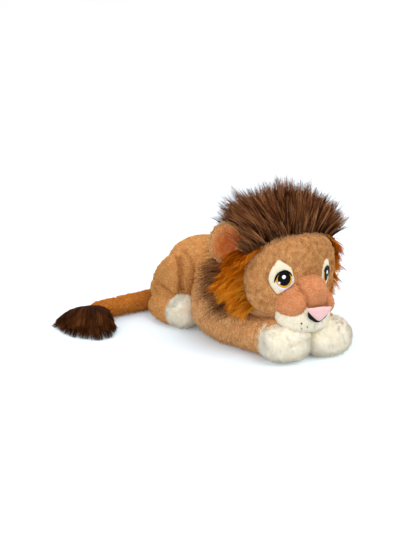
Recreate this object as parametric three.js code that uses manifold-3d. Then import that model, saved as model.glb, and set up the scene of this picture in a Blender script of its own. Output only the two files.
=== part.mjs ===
// A lying plush lion, in millimetres. It faces -Y, its right side is -X, and it lies on z = 0.
// The origin is on the floor under the middle of the belly.
import * as THREE from "three";
import { mergeVertices } from "three/addons/utils/BufferGeometryUtils.js";
import Module from "manifold-3d";

const wasm = await Module();
wasm.setup();

// Cloth and clearances
const clothThickness = 3;
const thinCloth = 1.4;
const gap = 0.3;
const runningGap = 0.8;
const maneGap = 2;
const floorFlat = 0.5;
const overrun = 400;
const nearlyZero = 1e-6;

// How full each form's corners are: 2 is round, and more is squarer.
const fullness = {
  paw: 2.3,
  thigh: 2.2,
  head: 2.4,
  lobe: 2.2,
  bridge: 3,
  lip: 2.4,
  neck: 2,
  patch: 1.6,
  eye: 2,
  ear: 2.2,
  mane: 2.2,
  ruff: 2.4,
};

// Torso, from the chest in front to the rump behind
const torsoLength = 182;
const torsoWidth = 116;
const torsoHeight = 113;
const chestReach = 62;
const bellyMiddle = 37;

// Front legs: a sleeve from the shoulder to the wrist, and a paw
const shoulderSpread = 50;
const shoulderY = 20;
const sleeveWidth = 54;
const shoulderHeight = 86;
const pawWidth = 62;
const pawLength = 66;
const pawHeight = 59;
const pawSpread = 34;
const pawReach = { right: 142, left: 150 };
const frontPivotSpread = 46;
const frontPivotY = 16;
const frontSwing = 18;

// Hind legs: a thigh, a shank along the floor and a foot
const thighSpread = 52;
const thighY = 73;
const thighWidth = 52;
const thighLength = 82;
const thighHeight = 98;
const shankSpread = 68;
const shankLength = 62;
const shankThickness = 40;
const shankY = 100;
const footSpread = 65;
const footY = 44;
const footWidth = 42;
const footLength = 46;
const footHeight = 44;
const hindPivotSpread = 40;
const hindPivotY = 96;
const hindSwing = 16;

// Tail, which leaves the rump and lies along the right hind leg
const tailThickness = 30;
const tailReach = 142;
const tailY = 124;
const tailRootY = 104;
const tailPivotY = 114;
const tailSwing = 70;
const tuftLength = 78;
const tuftWidth = 70;
const tuftHeight = 30;
const tuftDrift = 32;

// Neck, where the head turns and nods
const neckReach = 52;
const neckRise = 94;
const neckRadius = 20;
const headTurn = 10;
const headNod = 12;
const headRoll = 5;

// Head
const headWidth = 142;
const headDepth = 100;
const headHeight = 136;
const headReach = 97;
const headRise = 106;
const cheekSeamReach = 112;
const dartSpread = 35;

// Muzzle
const muzzleReach = 169;
const lobeWidth = 42;
const lobeDepth = 42;
const lobeHeight = 38;
const lobeSpread = 20;
const lobeRise = 83;
const bridgeWidth = 42;
const bridgeDepth = 46;
const bridgeHeight = 50;
const bridgeRise = 90;
const lipWidth = 66;
const lipDepth = 52;
const lipHeight = 36;
const lipRise = 58;
const noseWidth = 40;
const noseHeight = 19;
const noseThickness = 7;
const noseRise = 74;
const noseProud = 2;
const mouthBorder = 4;
const mouthDrop = 3;

// Eyes
const eyeSpread = 36;
const eyeRise = 105;
const eyeWidth = 25;
const eyeHeight = 24;
const patchWidth = 33;
const patchHeight = 46;

// Ears
const earWidth = 48;
const earHeight = 52;
const earThickness = 16;
const earRim = 4;
const earSpread = 66;
const earReach = 78;
const earRise = 126;
const earFacing = 38;
const earSplay = 24;
const earFold = 12;

// Mane
const crestWidth = 188;
const crestDepth = 104;
const crestHeight = 148;
const crestReach = 90;
const crestRise = 148;
const crestRootSpread = 57;
const crestRootRise = 140;
const crestRootArch = 13;
const crestFan = 57;
const sideManeWidth = 52;
const sideManeDepth = 62;
const sideManeHeight = 98;
const sideManeSpread = 69;
const sideManeReach = 86;
const sideManeRise = 104;
const ruffWidth = 178;
const ruffDepth = 58;
const ruffHeight = 132;
const ruffReach = 55;
const ruffRise = 106;

// Facets round and along each form
const medium = { sides: 16, rings: 12 };
const plain = { sides: 12, rings: 8 };
const coarse = { sides: 8, rings: 6 };

const materials = {
  tan: cloth(0xc8935c),
  face: cloth(0xc9986a),
  peach: cloth(0xdc9560),
  cream: cloth(0xefe7d0),
  pink: cloth(0xf0cdd2),
  felt: cloth(0x17130f),
  iris: cloth(0xb98a1c),
  brown: cloth(0x5c3a22),
  gold: cloth(0xb9701f),
  tail: cloth(0xb8743a),
  fibre: cloth(0xf4f2ec),
};

function cloth(color) {
  return new THREE.MeshStandardMaterial({ color, roughness: 0.95, metalness: 0 });
}

// A closed geometry as a solid that can be cut and joined.
function solidOf(geometry) {
  const bare = geometry.clone();
  bare.deleteAttribute("normal");
  bare.deleteAttribute("uv");
  const merged = mergeVertices(bare, gap / 1000);
  const mesh = new wasm.Mesh({
    numProp: 3,
    vertProperties: new Float32Array(merged.attributes.position.array),
    triVerts: new Uint32Array(merged.index.array),
  });
  return new wasm.Manifold(mesh);
}

function geometryOf(solid) {
  const mesh = solid.getMesh();
  const geometry = new THREE.BufferGeometry();
  geometry.setAttribute("position", new THREE.BufferAttribute(mesh.vertProperties, 3));
  geometry.setIndex(new THREE.BufferAttribute(mesh.triVerts, 1));
  geometry.computeVertexNormals();
  return geometry;
}

// The biggest body of a cut solid, without the slivers that a cut leaves.
function mainBody(solid) {
  const bodies = solid.decompose();
  return bodies.reduce((a, b) => (a.volume() > b.volume() ? a : b));
}

function moved(solid, matrix) {
  return solid.transform(matrix.elements);
}

function shifted(solid, x, y, z) {
  return moved(solid, new THREE.Matrix4().makeTranslation(x, y, z));
}

function less(solid, ...cutters) {
  return cutters.reduce((left, cutter) => left.subtract(cutter), solid);
}

function joined(...solids) {
  return solids.reduce((a, b) => a.add(b));
}

// A stuffed ball of three half sizes, squarer as the power rises.
function ball(halfX, halfY, halfZ, power, facets) {
  const geometry = new THREE.SphereGeometry(1, facets.sides, facets.rings);
  geometry.rotateX(Math.PI / 2);
  const place = geometry.attributes.position;
  for (let i = 0; i < place.count; i++) {
    const direction = [place.getX(i), place.getY(i), place.getZ(i)];
    const sum = direction.reduce((total, d) => total + Math.abs(d) ** power, 0);
    const reach = sum ** (-1 / power);
    place.setXYZ(i, halfX * reach * direction[0], halfY * reach * direction[1], halfZ * reach * direction[2]);
  }
  return solidOf(geometry);
}

// A stuffed tube through stations of { at, wide, high }, closed and rounded at both ends.
function stuffedTube(stations, grow, facets) {
  const last = stations.length - 1;
  const spine = new THREE.CatmullRomCurve3(stations.map((s) => s.at.clone()), false, "catmullrom");
  lengthened(spine.points[0], spine.points[1], grow);
  lengthened(spine.points[last], spine.points[last - 1], grow);
  const squares = stations.map((s, i) => {
    const open = i > 0 && i < last;
    return new THREE.Vector3(open ? (s.wide + grow) ** 2 : 0, open ? (s.high + grow) ** 2 : 0, 0);
  });
  const spread = new THREE.CatmullRomCurve3(squares, false, "catmullrom");
  const geometry = new THREE.SphereGeometry(1, facets.sides, facets.rings);
  const place = geometry.attributes.position;
  for (let i = 0; i < place.count; i++) {
    const along = THREE.MathUtils.clamp((1 - place.getY(i)) / 2, 0, 1);
    const ring = Math.hypot(place.getX(i), place.getZ(i));
    const point = spine.getPoint(along);
    if (ring > nearlyZero) {
      const tangent = spine.getTangent(along);
      const side = new THREE.Vector3(-tangent.y, tangent.x, 0).normalize();
      const up = new THREE.Vector3().crossVectors(tangent, side);
      const square = spread.getPoint(along);
      point.addScaledVector(side, (place.getX(i) / ring) * Math.sqrt(Math.max(square.x, nearlyZero)));
      point.addScaledVector(up, (place.getZ(i) / ring) * Math.sqrt(Math.max(square.y, nearlyZero)));
    }
    place.setXYZ(i, point.x, point.y, point.z);
  }
  return solidOf(geometry);
}

function lengthened(end, next, grow) {
  const outward = new THREE.Vector3().subVectors(end, next).normalize();
  end.addScaledVector(outward, grow);
}

function block(low, high) {
  const size = new THREE.Vector3().subVectors(high, low);
  const geometry = new THREE.BoxGeometry(size.x, size.y, size.z);
  geometry.translate((low.x + high.x) / 2, (low.y + high.y) / 2, (low.z + high.z) / 2);
  return solidOf(geometry);
}

// A turn about a line through a point.
function turnAbout(point, axis, degrees) {
  const turn = new THREE.Matrix4().makeRotationAxis(axis, THREE.MathUtils.degToRad(degrees));
  const there = new THREE.Matrix4().makeTranslation(point.x, point.y, point.z);
  const back = new THREE.Matrix4().makeTranslation(-point.x, -point.y, -point.z);
  return there.multiply(turn).multiply(back);
}

function sweep(solid, poses) {
  return joined(...poses.map((pose) => moved(solid, pose)));
}

function inverses(poses) {
  return poses.map((pose) => pose.clone().invert());
}

const xAxis = new THREE.Vector3(1, 0, 0);
const yAxis = new THREE.Vector3(0, 1, 0);
const zAxis = new THREE.Vector3(0, 0, 1);
// The poses that each moving body passes through.
const neck = new THREE.Vector3(0, -neckReach, neckRise);
const headRest = turnAbout(neck, yAxis, headRoll);
const headPosesAt = (turns) => turns.flatMap((turn) => [headPose(turn, 0), headPose(turn, -headNod)]);
const headPoses = headPosesAt([-headTurn, 0, headTurn]);

function headPose(turn, nod) {
  const nodded = turnAbout(neck, xAxis, nod).multiply(headRest);
  return turnAbout(neck, zAxis, turn).multiply(nodded);
}

function swingPoses(pivot, degrees) {
  return [0, 1 / 2, 1].map((share) => turnAbout(pivot, zAxis, degrees * share));
}

const sides = { right: -1, left: 1 };
const frontPivot = (side) => new THREE.Vector3(side * frontPivotSpread, frontPivotY, 0);
const hindPivot = (side) => new THREE.Vector3(side * hindPivotSpread, hindPivotY, 0);
const tailPivot = new THREE.Vector3(0, tailPivotY, 0);
const frontPoses = (side) => swingPoses(frontPivot(side), side * frontSwing);
const hindPoses = (side) => swingPoses(hindPivot(side), side * hindSwing);
const tailPoses = [0, 1, 2, 3, 4].map((step) => turnAbout(tailPivot, zAxis, (-tailSwing * step) / 4));

// Shares of the torso's length, width and height: station, half width, underside and top
const torsoShares = [
  [0, 0, 0.5, 0.5],
  [0.13, 0.4, 0.06, 0.84],
  [0.34, 0.46, -0.005, 0.93],
  [0.56, 0.49, -0.005, 0.97],
  [0.77, 0.5, -0.005, 1],
  [0.92, 0.4, 0.04, 0.86],
  [1, 0, 0.45, 0.45],
];

function torsoForm(grow, facets) {
  const stations = torsoShares.map(([along, half, under, top]) => ({
    at: new THREE.Vector3(0, along * torsoLength - chestReach, ((under + top) / 2) * torsoHeight),
    wide: half * torsoWidth,
    high: ((top - under) / 2) * torsoHeight,
  }));
  return stuffedTube(stations, grow, facets);
}

// Shares of the sleeve: how far along, how far in from the shoulder to the paw, half width and half height
const sleeveShares = [
  [0, 0, 0.52, 0, 0],
  [0.13, 0, 0.5, 0.44, 0.42],
  [0.32, -0.04, 0.4, 0.5, 0.4],
  [0.56, 0.05, 0.335, 0.47, 0.34],
  [0.78, 0.5, 0.32, 0.46, 0.325],
  [0.94, 0.85, 0.33, 0.47, 0.32],
  [1, 1, 0.34, 0, 0],
];

function sleeveForm(side, reach, grow, facets) {
  const length = reach + shoulderY;
  const stations = sleeveShares.map(([along, inward, rise, wide, high]) => ({
    at: new THREE.Vector3(
      side * THREE.MathUtils.lerp(shoulderSpread, pawSpread, inward),
      shoulderY - along * length,
      rise * shoulderHeight,
    ),
    wide: wide * sleeveWidth,
    high: high * shoulderHeight,
  }));
  return stuffedTube(stations, grow, facets);
}

function pawForm(side, reach, grow, facets) {
  const form = ball(pawWidth / 2 + grow, pawLength / 2 + grow, pawHeight / 2 + grow, fullness.paw, facets);
  return shifted(form, side * pawSpread, -reach, pawHeight / 2 - floorFlat);
}

function thighForm(side, grow, facets) {
  const form = ball(thighWidth / 2 + grow, thighLength / 2 + grow, thighHeight / 2 + grow, fullness.thigh, facets);
  return shifted(form, side * thighSpread, thighY, thighHeight / 2);
}

function shankForm(side, grow, facets) {
  const shares = [[0, 0], [0.2, 0.46], [0.5, 0.5], [0.8, 0.44], [1, 0]];
  const stations = shares.map(([along, half]) => ({
    at: new THREE.Vector3(side * shankSpread, shankY - along * shankLength, shankThickness / 2 - floorFlat),
    wide: half * shankThickness,
    high: half * shankThickness,
  }));
  return stuffedTube(stations, grow, facets);
}

function footForm(side, grow, facets) {
  const form = ball(footWidth / 2 + grow, footLength / 2 + grow, footHeight / 2 + grow, fullness.paw, facets);
  return shifted(form, side * footSpread, footY, footHeight / 2 - floorFlat);
}

// Shares of the tail: how far sideways, how far from the rump's root to the lying line, half thickness
const tailShares = [
  [0, 0, 0],
  [0.02, 0.45, 0.5],
  [0.16, 0.92, 0.53],
  [0.4, 1.08, 0.5],
  [0.7, 1.04, 0.47],
  [0.93, 0.98, 0.44],
  [1, 0.95, 0],
];

function tailForm(grow, facets) {
  const stations = tailShares.map(([along, out, half]) => ({
    at: new THREE.Vector3(
      -along * (tailReach + tailThickness / 2),
      THREE.MathUtils.lerp(tailRootY, tailY, out),
      tailThickness / 2 - floorFlat,
    ),
    wide: half * tailThickness,
    high: Math.min(half, 1 / 2) * tailThickness,
  }));
  return stuffedTube(stations, grow, facets);
}

// Shares of the tuft: how far along, half width, underside and top
const tuftShares = [
  [0, 0, 0.4, 0.4],
  [0.12, 0.26, 0.02, 0.86],
  [0.42, 0.43, -0.015, 1],
  [0.74, 0.5, -0.015, 0.8],
  [1, 0, 0.2, 0.2],
];

function tuftForm(grow, facets) {
  const stations = tuftShares.map(([along, half, under, top]) => ({
    at: new THREE.Vector3(
      -tailReach + tailThickness / 2 - along * tuftLength,
      tailY - along * tuftDrift,
      ((under + top) / 2) * tuftHeight,
    ),
    wide: half * tuftWidth,
    high: ((top - under) / 2) * tuftHeight,
  }));
  return stuffedTube(stations, grow, facets);
}

function headForm(grow, facets) {
  const form = ball(headWidth / 2 + grow, headDepth / 2 + grow, headHeight / 2 + grow, fullness.head, facets);
  return shifted(form, 0, -headReach, headRise);
}

function muzzleForm(grow, facets) {
  const lobes = Object.values(sides).map((side) => {
    const lobe = ball(lobeWidth / 2 + grow, lobeDepth / 2 + grow, lobeHeight / 2 + grow, fullness.lobe, facets);
    return shifted(lobe, side * lobeSpread, lobeDepth / 2 - muzzleReach, lobeRise);
  });
  const bridge = ball(
    bridgeWidth / 2 + grow,
    bridgeDepth / 2 + grow,
    bridgeHeight / 2 + grow,
    fullness.bridge,
    facets,
  );
  return joined(...lobes, shifted(bridge, 0, bridgeDepth / 2 - muzzleReach, bridgeRise));
}

function lipForm(grow, facets) {
  const form = ball(lipWidth / 2 + grow, lipDepth / 2 + grow, lipHeight / 2 + grow, fullness.lip, facets);
  return shifted(form, 0, lipDepth / 2 - muzzleReach, lipRise);
}

function neckForm(grow) {
  const radius = neckRadius + grow;
  return shifted(ball(radius, radius, radius, fullness.neck, medium), neck.x, neck.y, neck.z);
}

// The muzzle's lobes stay higher than the paws, so the head, the lip and its felt are its low outline.
function headOutline(grow, facets) {
  return joined(headForm(grow, facets), lipForm(thinCloth + grow, plain));
}

// The floor, raised to keep a filling off it.
function floor(rise) {
  return block(
    new THREE.Vector3(-overrun, -overrun, -overrun),
    new THREE.Vector3(overrun, overrun, rise),
  );
}

// What each moving body has to stay clear of, as outlines that take a further distance.
const torsoOutline = (grow) => torsoForm(runningGap + grow, medium);
const headSweep = (grow, facets) => sweep(headOutline(runningGap + grow, facets), headPoses);

function frontLegOutline(side, reach, grow, facets) {
  const sleeve = sleeveForm(side, reach, runningGap + grow, facets);
  return sweep(joined(sleeve, pawForm(side, reach, runningGap + grow, facets)), frontPoses(side));
}

// A skin of cloth round a hollow for its filling, both clear of the outlines.
function skinned(outer, inner, outlines) {
  const near = outlines.map((outline) => outline(0, medium));
  const deep = outlines.map((outline) => outline(clothThickness, plain));
  return less(less(outer, ...near), less(inner, ...deep));
}

function filled(inner, outlines) {
  return less(inner, ...outlines.map((outline) => outline(clothThickness + gap, plain)));
}

function place(group, name, solid, material) {
  const mesh = new THREE.Mesh(geometryOf(mainBody(solid)), material);
  mesh.name = name;
  group.add(mesh);
}

const lion = new THREE.Group();

// Torso: a skin round a filling, hollowed in front where the head lies and open to the neck
function makeTorso() {
  const torso = new THREE.Group();
  const outlines = [headSweep, floor];
  const skin = skinned(torsoForm(0, medium), torsoForm(-clothThickness, coarse), outlines);
  const filling = filled(torsoForm(-clothThickness - gap, coarse), outlines);
  place(torso, "body_skin", less(skin, neckForm(runningGap)), materials.tan);
  place(torso, "body_filling", less(filling, neckForm(runningGap)), materials.fibre);
  place(torso, "neck_filling", neckForm(0), materials.fibre);
  return torso;
}

// A front leg: a tan sleeve, a cream paw and one filling that runs through both
function makeFrontLeg(name, side) {
  const leg = new THREE.Group();
  const reach = pawReach[name];
  const poses = inverses(frontPoses(side));
  const outlines = [
    (grow) => sweep(torsoOutline(grow), [poses[0], poses[2]]),
    (grow, facets) => sweep(headSweep(grow, facets), poses),
    floor,
  ];
  const sleeveInner = sleeveForm(side, reach, -clothThickness, coarse);
  const pawInner = pawForm(side, reach, -clothThickness, coarse);
  const sleeve = skinned(sleeveForm(side, reach, 0, plain), sleeveInner, outlines);
  const paw = skinned(pawForm(side, reach, 0, plain), pawInner, outlines);
  const filling = joined(
    sleeveForm(side, reach, -clothThickness - gap, coarse),
    pawForm(side, reach, -clothThickness - gap, coarse),
  );
  place(leg, "front_leg_" + name, less(sleeve, pawForm(side, reach, gap, plain)), materials.tan);
  place(leg, "front_paw_" + name, less(paw, sleeveInner), materials.cream);
  place(leg, "front_leg_filling_" + name, filled(filling, outlines), materials.fibre);
  return leg;
}

// A hind leg: a thigh folded onto its shank, a cream foot and one filling
function makeHindLeg(name, side) {
  const leg = new THREE.Group();
  const poses = inverses(hindPoses(side));
  const outlines = [
    (grow) => sweep(torsoOutline(grow), [poses[0], poses[2]]),
    floor,
  ];
  const legInner = joined(
    thighForm(side, -clothThickness, coarse),
    shankForm(side, -clothThickness, coarse),
  );
  const skin = skinned(joined(thighForm(side, 0, plain), shankForm(side, 0, plain)), legInner, outlines);
  const foot = skinned(footForm(side, 0, plain), footForm(side, -clothThickness, coarse), outlines);
  const filling = joined(
    thighForm(side, -clothThickness - gap, coarse),
    shankForm(side, -clothThickness - gap, coarse),
    footForm(side, -clothThickness - gap, coarse),
  );
  place(leg, "hind_leg_" + name, less(skin, footForm(side, gap, plain)), materials.tan);
  place(leg, "hind_foot_" + name, less(foot, legInner), materials.cream);
  place(leg, "hind_leg_filling_" + name, filled(filling, outlines), materials.fibre);
  return leg;
}

// Tail: a skin round a filling, with a long-haired tuft sewn on its end
function makeTail() {
  const tail = new THREE.Group();
  const poses = inverses(tailPoses);
  const outlines = [
    (grow) => sweep(torsoOutline(grow), poses),
    floor,
  ];
  const inner = tailForm(-clothThickness, coarse);
  const skin = skinned(tailForm(0, plain), inner, outlines);
  place(tail, "tail_skin", less(skin, tuftForm(gap, plain)), materials.tail);
  const filling = filled(tailForm(-clothThickness - gap, coarse), outlines);
  place(tail, "tail_filling", less(filling, tuftForm(gap, plain)), materials.fibre);
  place(tail, "tail_tuft", less(tuftForm(0, plain), floor(0)), materials.brown);
  return tail;
}

// A wedge of space in front of the cheek seam, between two distances from the middle.
function faceRegion(low, high) {
  return block(
    new THREE.Vector3(low, -overrun, -overrun),
    new THREE.Vector3(high, -cheekSeamReach, overrun),
  );
}

// The outline of a pad on the face, pushed back through the head.
function padPrism(width, height, spread, rise, power) {
  const points = [];
  const steps = 24;
  for (let i = 0; i < steps; i++) {
    const angle = (2 * Math.PI * i) / steps;
    const x = Math.cos(angle);
    const z = Math.sin(angle);
    const reach = (Math.abs(x) ** power + Math.abs(z) ** power) ** (-1 / power);
    points.push(new THREE.Vector2((x * reach * width) / 2, (z * reach * height) / 2));
  }
  const geometry = new THREE.ExtrudeGeometry(new THREE.Shape(points), {
    depth: overrun,
    bevelEnabled: false,
  });
  geometry.rotateX(Math.PI / 2);
  geometry.translate(spread, -headReach, rise);
  return solidOf(geometry);
}

// A layer of cloth that lies on the head between two distances from it.
function layer(low, high) {
  return less(headForm(high, medium), headForm(low, medium));
}

// The nose's outline, pushed back from a distance in front of the muzzle to one behind its front.
function nosePrism(grow, front, back) {
  const shape = new THREE.Shape();
  const half = noseWidth / 2 + grow;
  const low = -noseHeight / 2 - grow;
  const high = noseHeight / 2 + grow;
  shape.moveTo(-half, high);
  shape.lineTo(-grow, low);
  shape.lineTo(grow, low);
  shape.lineTo(half, high);
  shape.quadraticCurveTo(0, high + noseHeight / 4, -half, high);
  const geometry = new THREE.ExtrudeGeometry(shape, {
    depth: front + back,
    bevelEnabled: false,
    curveSegments: 6,
  });
  geometry.rotateX(Math.PI / 2);
  geometry.translate(0, back - muzzleReach, noseRise - noseHeight / 2);
  return solidOf(geometry);
}

function noseForm(grow) {
  return nosePrism(nearlyZero + grow, noseProud + grow, noseThickness - noseProud + grow);
}

// The felt under the nose, lower than the nose by the width that shows.
function mouthForm(grow) {
  return shifted(nosePrism(mouthBorder + grow, thinCloth + grow, thinCloth + grow), 0, 0, -mouthDrop);
}

// An ear as a dish that faces -Y, and the lining that lies in it
function earDish(grow) {
  return ball(earWidth / 2 + grow, earThickness / 2 + grow, earHeight / 2 + grow, fullness.ear, plain);
}

function earHollow(grow) {
  const form = ball(
    earWidth / 2 - earRim + grow,
    earThickness / 2 + grow,
    earHeight / 2 - earRim + grow,
    fullness.ear,
    plain,
  );
  return shifted(form, 0, -earThickness / 2, 0);
}

function earPlace(side) {
  const matrix = new THREE.Matrix4().makeTranslation(side * earSpread, -earReach, earRise);
  matrix.multiply(new THREE.Matrix4().makeRotationZ(THREE.MathUtils.degToRad(side * earFacing)));
  matrix.multiply(new THREE.Matrix4().makeRotationY(THREE.MathUtils.degToRad(side * earSplay)));
  return matrix.multiply(new THREE.Matrix4().makeTranslation(0, 0, earHeight / 3));
}

function earPoses(side) {
  const base = new THREE.Vector3(side * earSpread, -earReach, earRise);
  const axis = xAxis.clone().applyAxisAngle(zAxis, THREE.MathUtils.degToRad(side * earFacing));
  return [-1, -1 / 3, 0, 1 / 3, 1].map((share) => turnAbout(base, axis, share * earFold));
}

function earSweep(side, grow) {
  return sweep(moved(earDish(grow), earPlace(side)), earPoses(side));
}

function makeEar(name, side) {
  const ear = new THREE.Group();
  const awayFromHead = sweep(headForm(runningGap, medium), inverses(earPoses(side)));
  const back = less(earDish(0), earHollow(0));
  const lining = less(earHollow(-gap).intersect(earDish(0)), shifted(earHollow(-gap), 0, -thinCloth, 0));
  place(ear, "ear_back_" + name, less(moved(back, earPlace(side)), awayFromHead), materials.tan);
  place(ear, "ear_lining_" + name, less(moved(lining, earPlace(side)), awayFromHead), materials.peach);
  return ear;
}

// The space that the crest fans into, above the line that its hair starts from.
function crestFanPrism(grow) {
  const root = crestRootSpread + grow;
  const low = crestRootRise - grow;
  const wing = root + overrun * Math.tan(THREE.MathUtils.degToRad(crestFan));
  const points = [
    [root, low],
    [wing, low + overrun],
    [-wing, low + overrun],
    [-root, low],
    [-root / 2, low + crestRootArch],
    [root / 2, low + crestRootArch],
  ];
  const shape = new THREE.Shape(points.map(([x, z]) => new THREE.Vector2(x, z)));
  const geometry = new THREE.ExtrudeGeometry(shape, { depth: 2 * overrun, bevelEnabled: false });
  geometry.rotateX(Math.PI / 2);
  geometry.translate(0, overrun, 0);
  return solidOf(geometry);
}

function crestForm(grow) {
  const form = ball(
    crestWidth / 2 + grow,
    crestDepth / 2 + grow,
    crestHeight / 2 + grow,
    fullness.mane,
    plain,
  );
  return shifted(form, 0, -crestReach, crestRise).intersect(crestFanPrism(grow));
}

function sideManeForm(side, grow) {
  const form = ball(
    sideManeWidth / 2 + grow,
    sideManeDepth / 2 + grow,
    sideManeHeight / 2 + grow,
    fullness.mane,
    plain,
  );
  return shifted(form, side * sideManeSpread, -sideManeReach, sideManeRise);
}

const ruffForm = (grow) =>
  shifted(
    ball(ruffWidth / 2 + grow, ruffDepth / 2 + grow, ruffHeight / 2 + grow, fullness.ruff, plain),
    0,
    -ruffReach,
    ruffRise,
  );

// The head's layers and their cutters are all in the head's own frame, before its small roll.
function makeSkull(head) {
  const inner = headForm(-clothThickness, plain);
  const skin = less(headForm(0, medium), inner, neckForm(runningGap));
  const face = less(skin, muzzleForm(gap, plain), lipForm(gap, plain));
  const seam = gap / 2;
  const behind = block(
    new THREE.Vector3(-overrun, seam - cheekSeamReach, -overrun),
    new THREE.Vector3(overrun, overrun, overrun),
  );
  place(head, "forehead_panel", face.intersect(faceRegion(seam - dartSpread, dartSpread - seam)), materials.face);
  place(head, "cheek_right", face.intersect(faceRegion(-overrun, -dartSpread - seam)), materials.face);
  place(head, "cheek_left", face.intersect(faceRegion(dartSpread + seam, overrun)), materials.face);
  place(head, "head_back", skin.intersect(behind), materials.tan);
  const filling = less(headForm(-clothThickness - gap, plain), neckForm(runningGap));
  place(head, "head_filling", filling, materials.fibre);
}

function makeMuzzle(head) {
  const inner = headForm(-clothThickness, plain);
  const noseCut = noseForm(gap);
  const top = less(muzzleForm(0, plain), inner, noseCut, mouthForm(gap));
  const lip = less(lipForm(0, plain), inner, muzzleForm(gap, plain), noseCut, mouthForm(gap));
  place(head, "muzzle_top", top, materials.peach);
  place(head, "muzzle_lip", lip, materials.cream);
  place(head, "nose", noseForm(0), materials.pink);
  const felt = mouthForm(0).intersect(lipForm(thinCloth, plain));
  place(head, "mouth_felt", less(felt, noseCut), materials.felt);
}

// Eyes: a cream patch of short pile and an embroidered eye on it
function makeEyes(head) {
  const muzzle = joined(muzzleForm(gap, plain), lipForm(gap, plain));
  for (const [name, side] of Object.entries(sides)) {
    const patch = padPrism(patchWidth, patchHeight, side * eyeSpread, eyeRise, fullness.patch);
    const eye = padPrism(eyeWidth, eyeHeight, side * eyeSpread, eyeRise, fullness.eye);
    const patchLayer = layer(gap, gap + thinCloth).intersect(patch);
    const eyeLayer = layer(gap * 2 + thinCloth, gap * 2 + thinCloth * 2).intersect(eye);
    place(head, "eye_patch_" + name, less(patchLayer, muzzle), materials.cream);
    place(head, "eye_" + name, less(eyeLayer, muzzle), materials.iris);
  }
}

// Mane: a brown crest, a gold side on each cheek and a brown ruff behind them
function makeMane(head) {
  const headCut = headForm(gap, medium);
  const poses = inverses(headPosesAt([-headTurn, headTurn]));
  const torsoCut = sweep(torsoOutline(maneGap), poses);
  const legs = Object.entries(sides).map(([name, side]) =>
    frontLegOutline(side, pawReach[name], maneGap, coarse),
  );
  const legCut = sweep(joined(...legs), [poses[0], poses[2]]);
  const earCut = joined(earSweep(sides.right, maneGap), earSweep(sides.left, maneGap));
  const cuts = [headCut, neckForm(runningGap), torsoCut, legCut, earCut];
  place(head, "mane_crest", less(crestForm(0), ...cuts), materials.brown);
  for (const [name, side] of Object.entries(sides)) {
    place(head, "mane_side_" + name, less(sideManeForm(side, 0), ...cuts, crestForm(gap)), materials.gold);
  }
  const front = joined(crestForm(gap), sideManeForm(sides.right, gap), sideManeForm(sides.left, gap));
  place(head, "mane_ruff", less(ruffForm(0), ...cuts, front), materials.brown);
}

function makeHead() {
  const head = new THREE.Group();
  head.applyMatrix4(headRest);
  makeSkull(head);
  makeMuzzle(head);
  makeEyes(head);
  makeMane(head);
  for (const [name, side] of Object.entries(sides)) head.add(makeEar(name, side));
  return head;
}

lion.position.set(0, -bellyMiddle, 0);
lion.add(makeTorso(), makeTail(), makeHead());
for (const [name, side] of Object.entries(sides)) {
  lion.add(makeFrontLeg(name, side), makeHindLeg(name, side));
}

export default lion;
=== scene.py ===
import math

import bmesh
import bpy
import numpy as np
from mathutils import Matrix, Vector, noise
from mathutils.bvhtree import BVHTree
from mathutils.kdtree import KDTree


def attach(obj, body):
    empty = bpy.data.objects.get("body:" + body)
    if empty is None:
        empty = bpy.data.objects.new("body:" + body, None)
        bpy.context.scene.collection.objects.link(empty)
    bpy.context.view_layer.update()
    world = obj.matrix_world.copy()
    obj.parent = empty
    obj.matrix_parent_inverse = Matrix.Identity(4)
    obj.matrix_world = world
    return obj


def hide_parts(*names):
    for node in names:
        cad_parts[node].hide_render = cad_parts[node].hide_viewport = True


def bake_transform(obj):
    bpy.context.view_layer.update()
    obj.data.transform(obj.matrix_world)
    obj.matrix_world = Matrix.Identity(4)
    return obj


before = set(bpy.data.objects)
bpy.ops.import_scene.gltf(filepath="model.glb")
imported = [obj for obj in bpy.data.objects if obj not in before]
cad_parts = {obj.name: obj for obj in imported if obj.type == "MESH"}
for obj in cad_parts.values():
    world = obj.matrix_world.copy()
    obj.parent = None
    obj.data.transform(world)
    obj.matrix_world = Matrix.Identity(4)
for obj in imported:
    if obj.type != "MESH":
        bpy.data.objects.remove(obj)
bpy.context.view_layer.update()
print("the frame is loaded")

mm = 0.001
neck = Vector((0, -89, 94)) * mm
# the head leans 5 degrees to its left, so its pieces are made upright and leaned last
headLean = Matrix.Translation(neck) @ Matrix.Rotation(math.radians(5), 4, "Y") @ Matrix.Translation(-neck)
rightLeft = {"right": -1, "left": 1}
strandShare = 1.0

# camera, lamps, floor and backdrop
shot = {
    "target": (-0.030, 0.001, 0.0745),
    "azimuth": -35,
    "elevation": 17,
    "distance": 1.5,
    "lens": 74.07,
    "sensor": 36,
}


def backFrom(azimuth, elevation):
    turn, rise = math.radians(azimuth), math.radians(elevation)
    level = math.cos(rise)
    return Vector((math.sin(turn) * level, -math.cos(turn) * level, math.sin(rise)))


def aimed(name, data, back, target, distance):
    # a camera or lamp that looks at the target from where back points
    holder = bpy.data.objects.new(name, data)
    holder.location = Vector(target) + back * distance
    holder.rotation_euler = back.to_track_quat("Z", "Y").to_euler()
    bpy.context.collection.objects.link(holder)
    return holder


def makeCamera():
    data = bpy.data.cameras.new("camera")
    data.lens = shot["lens"]
    data.sensor_width = shot["sensor"]
    back = backFrom(shot["azimuth"], shot["elevation"])
    bpy.context.scene.camera = aimed("camera", data, back, shot["target"], shot["distance"])


lamps = {
    "key": {"azimuth": 12, "elevation": 55, "spread": 40, "strength": 1.5},
    "fill": {"azimuth": -80, "elevation": 35, "spread": 60, "strength": 0.85},
    "back": {"azimuth": 165, "elevation": 50, "spread": 50, "strength": 0.6},
}
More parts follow.
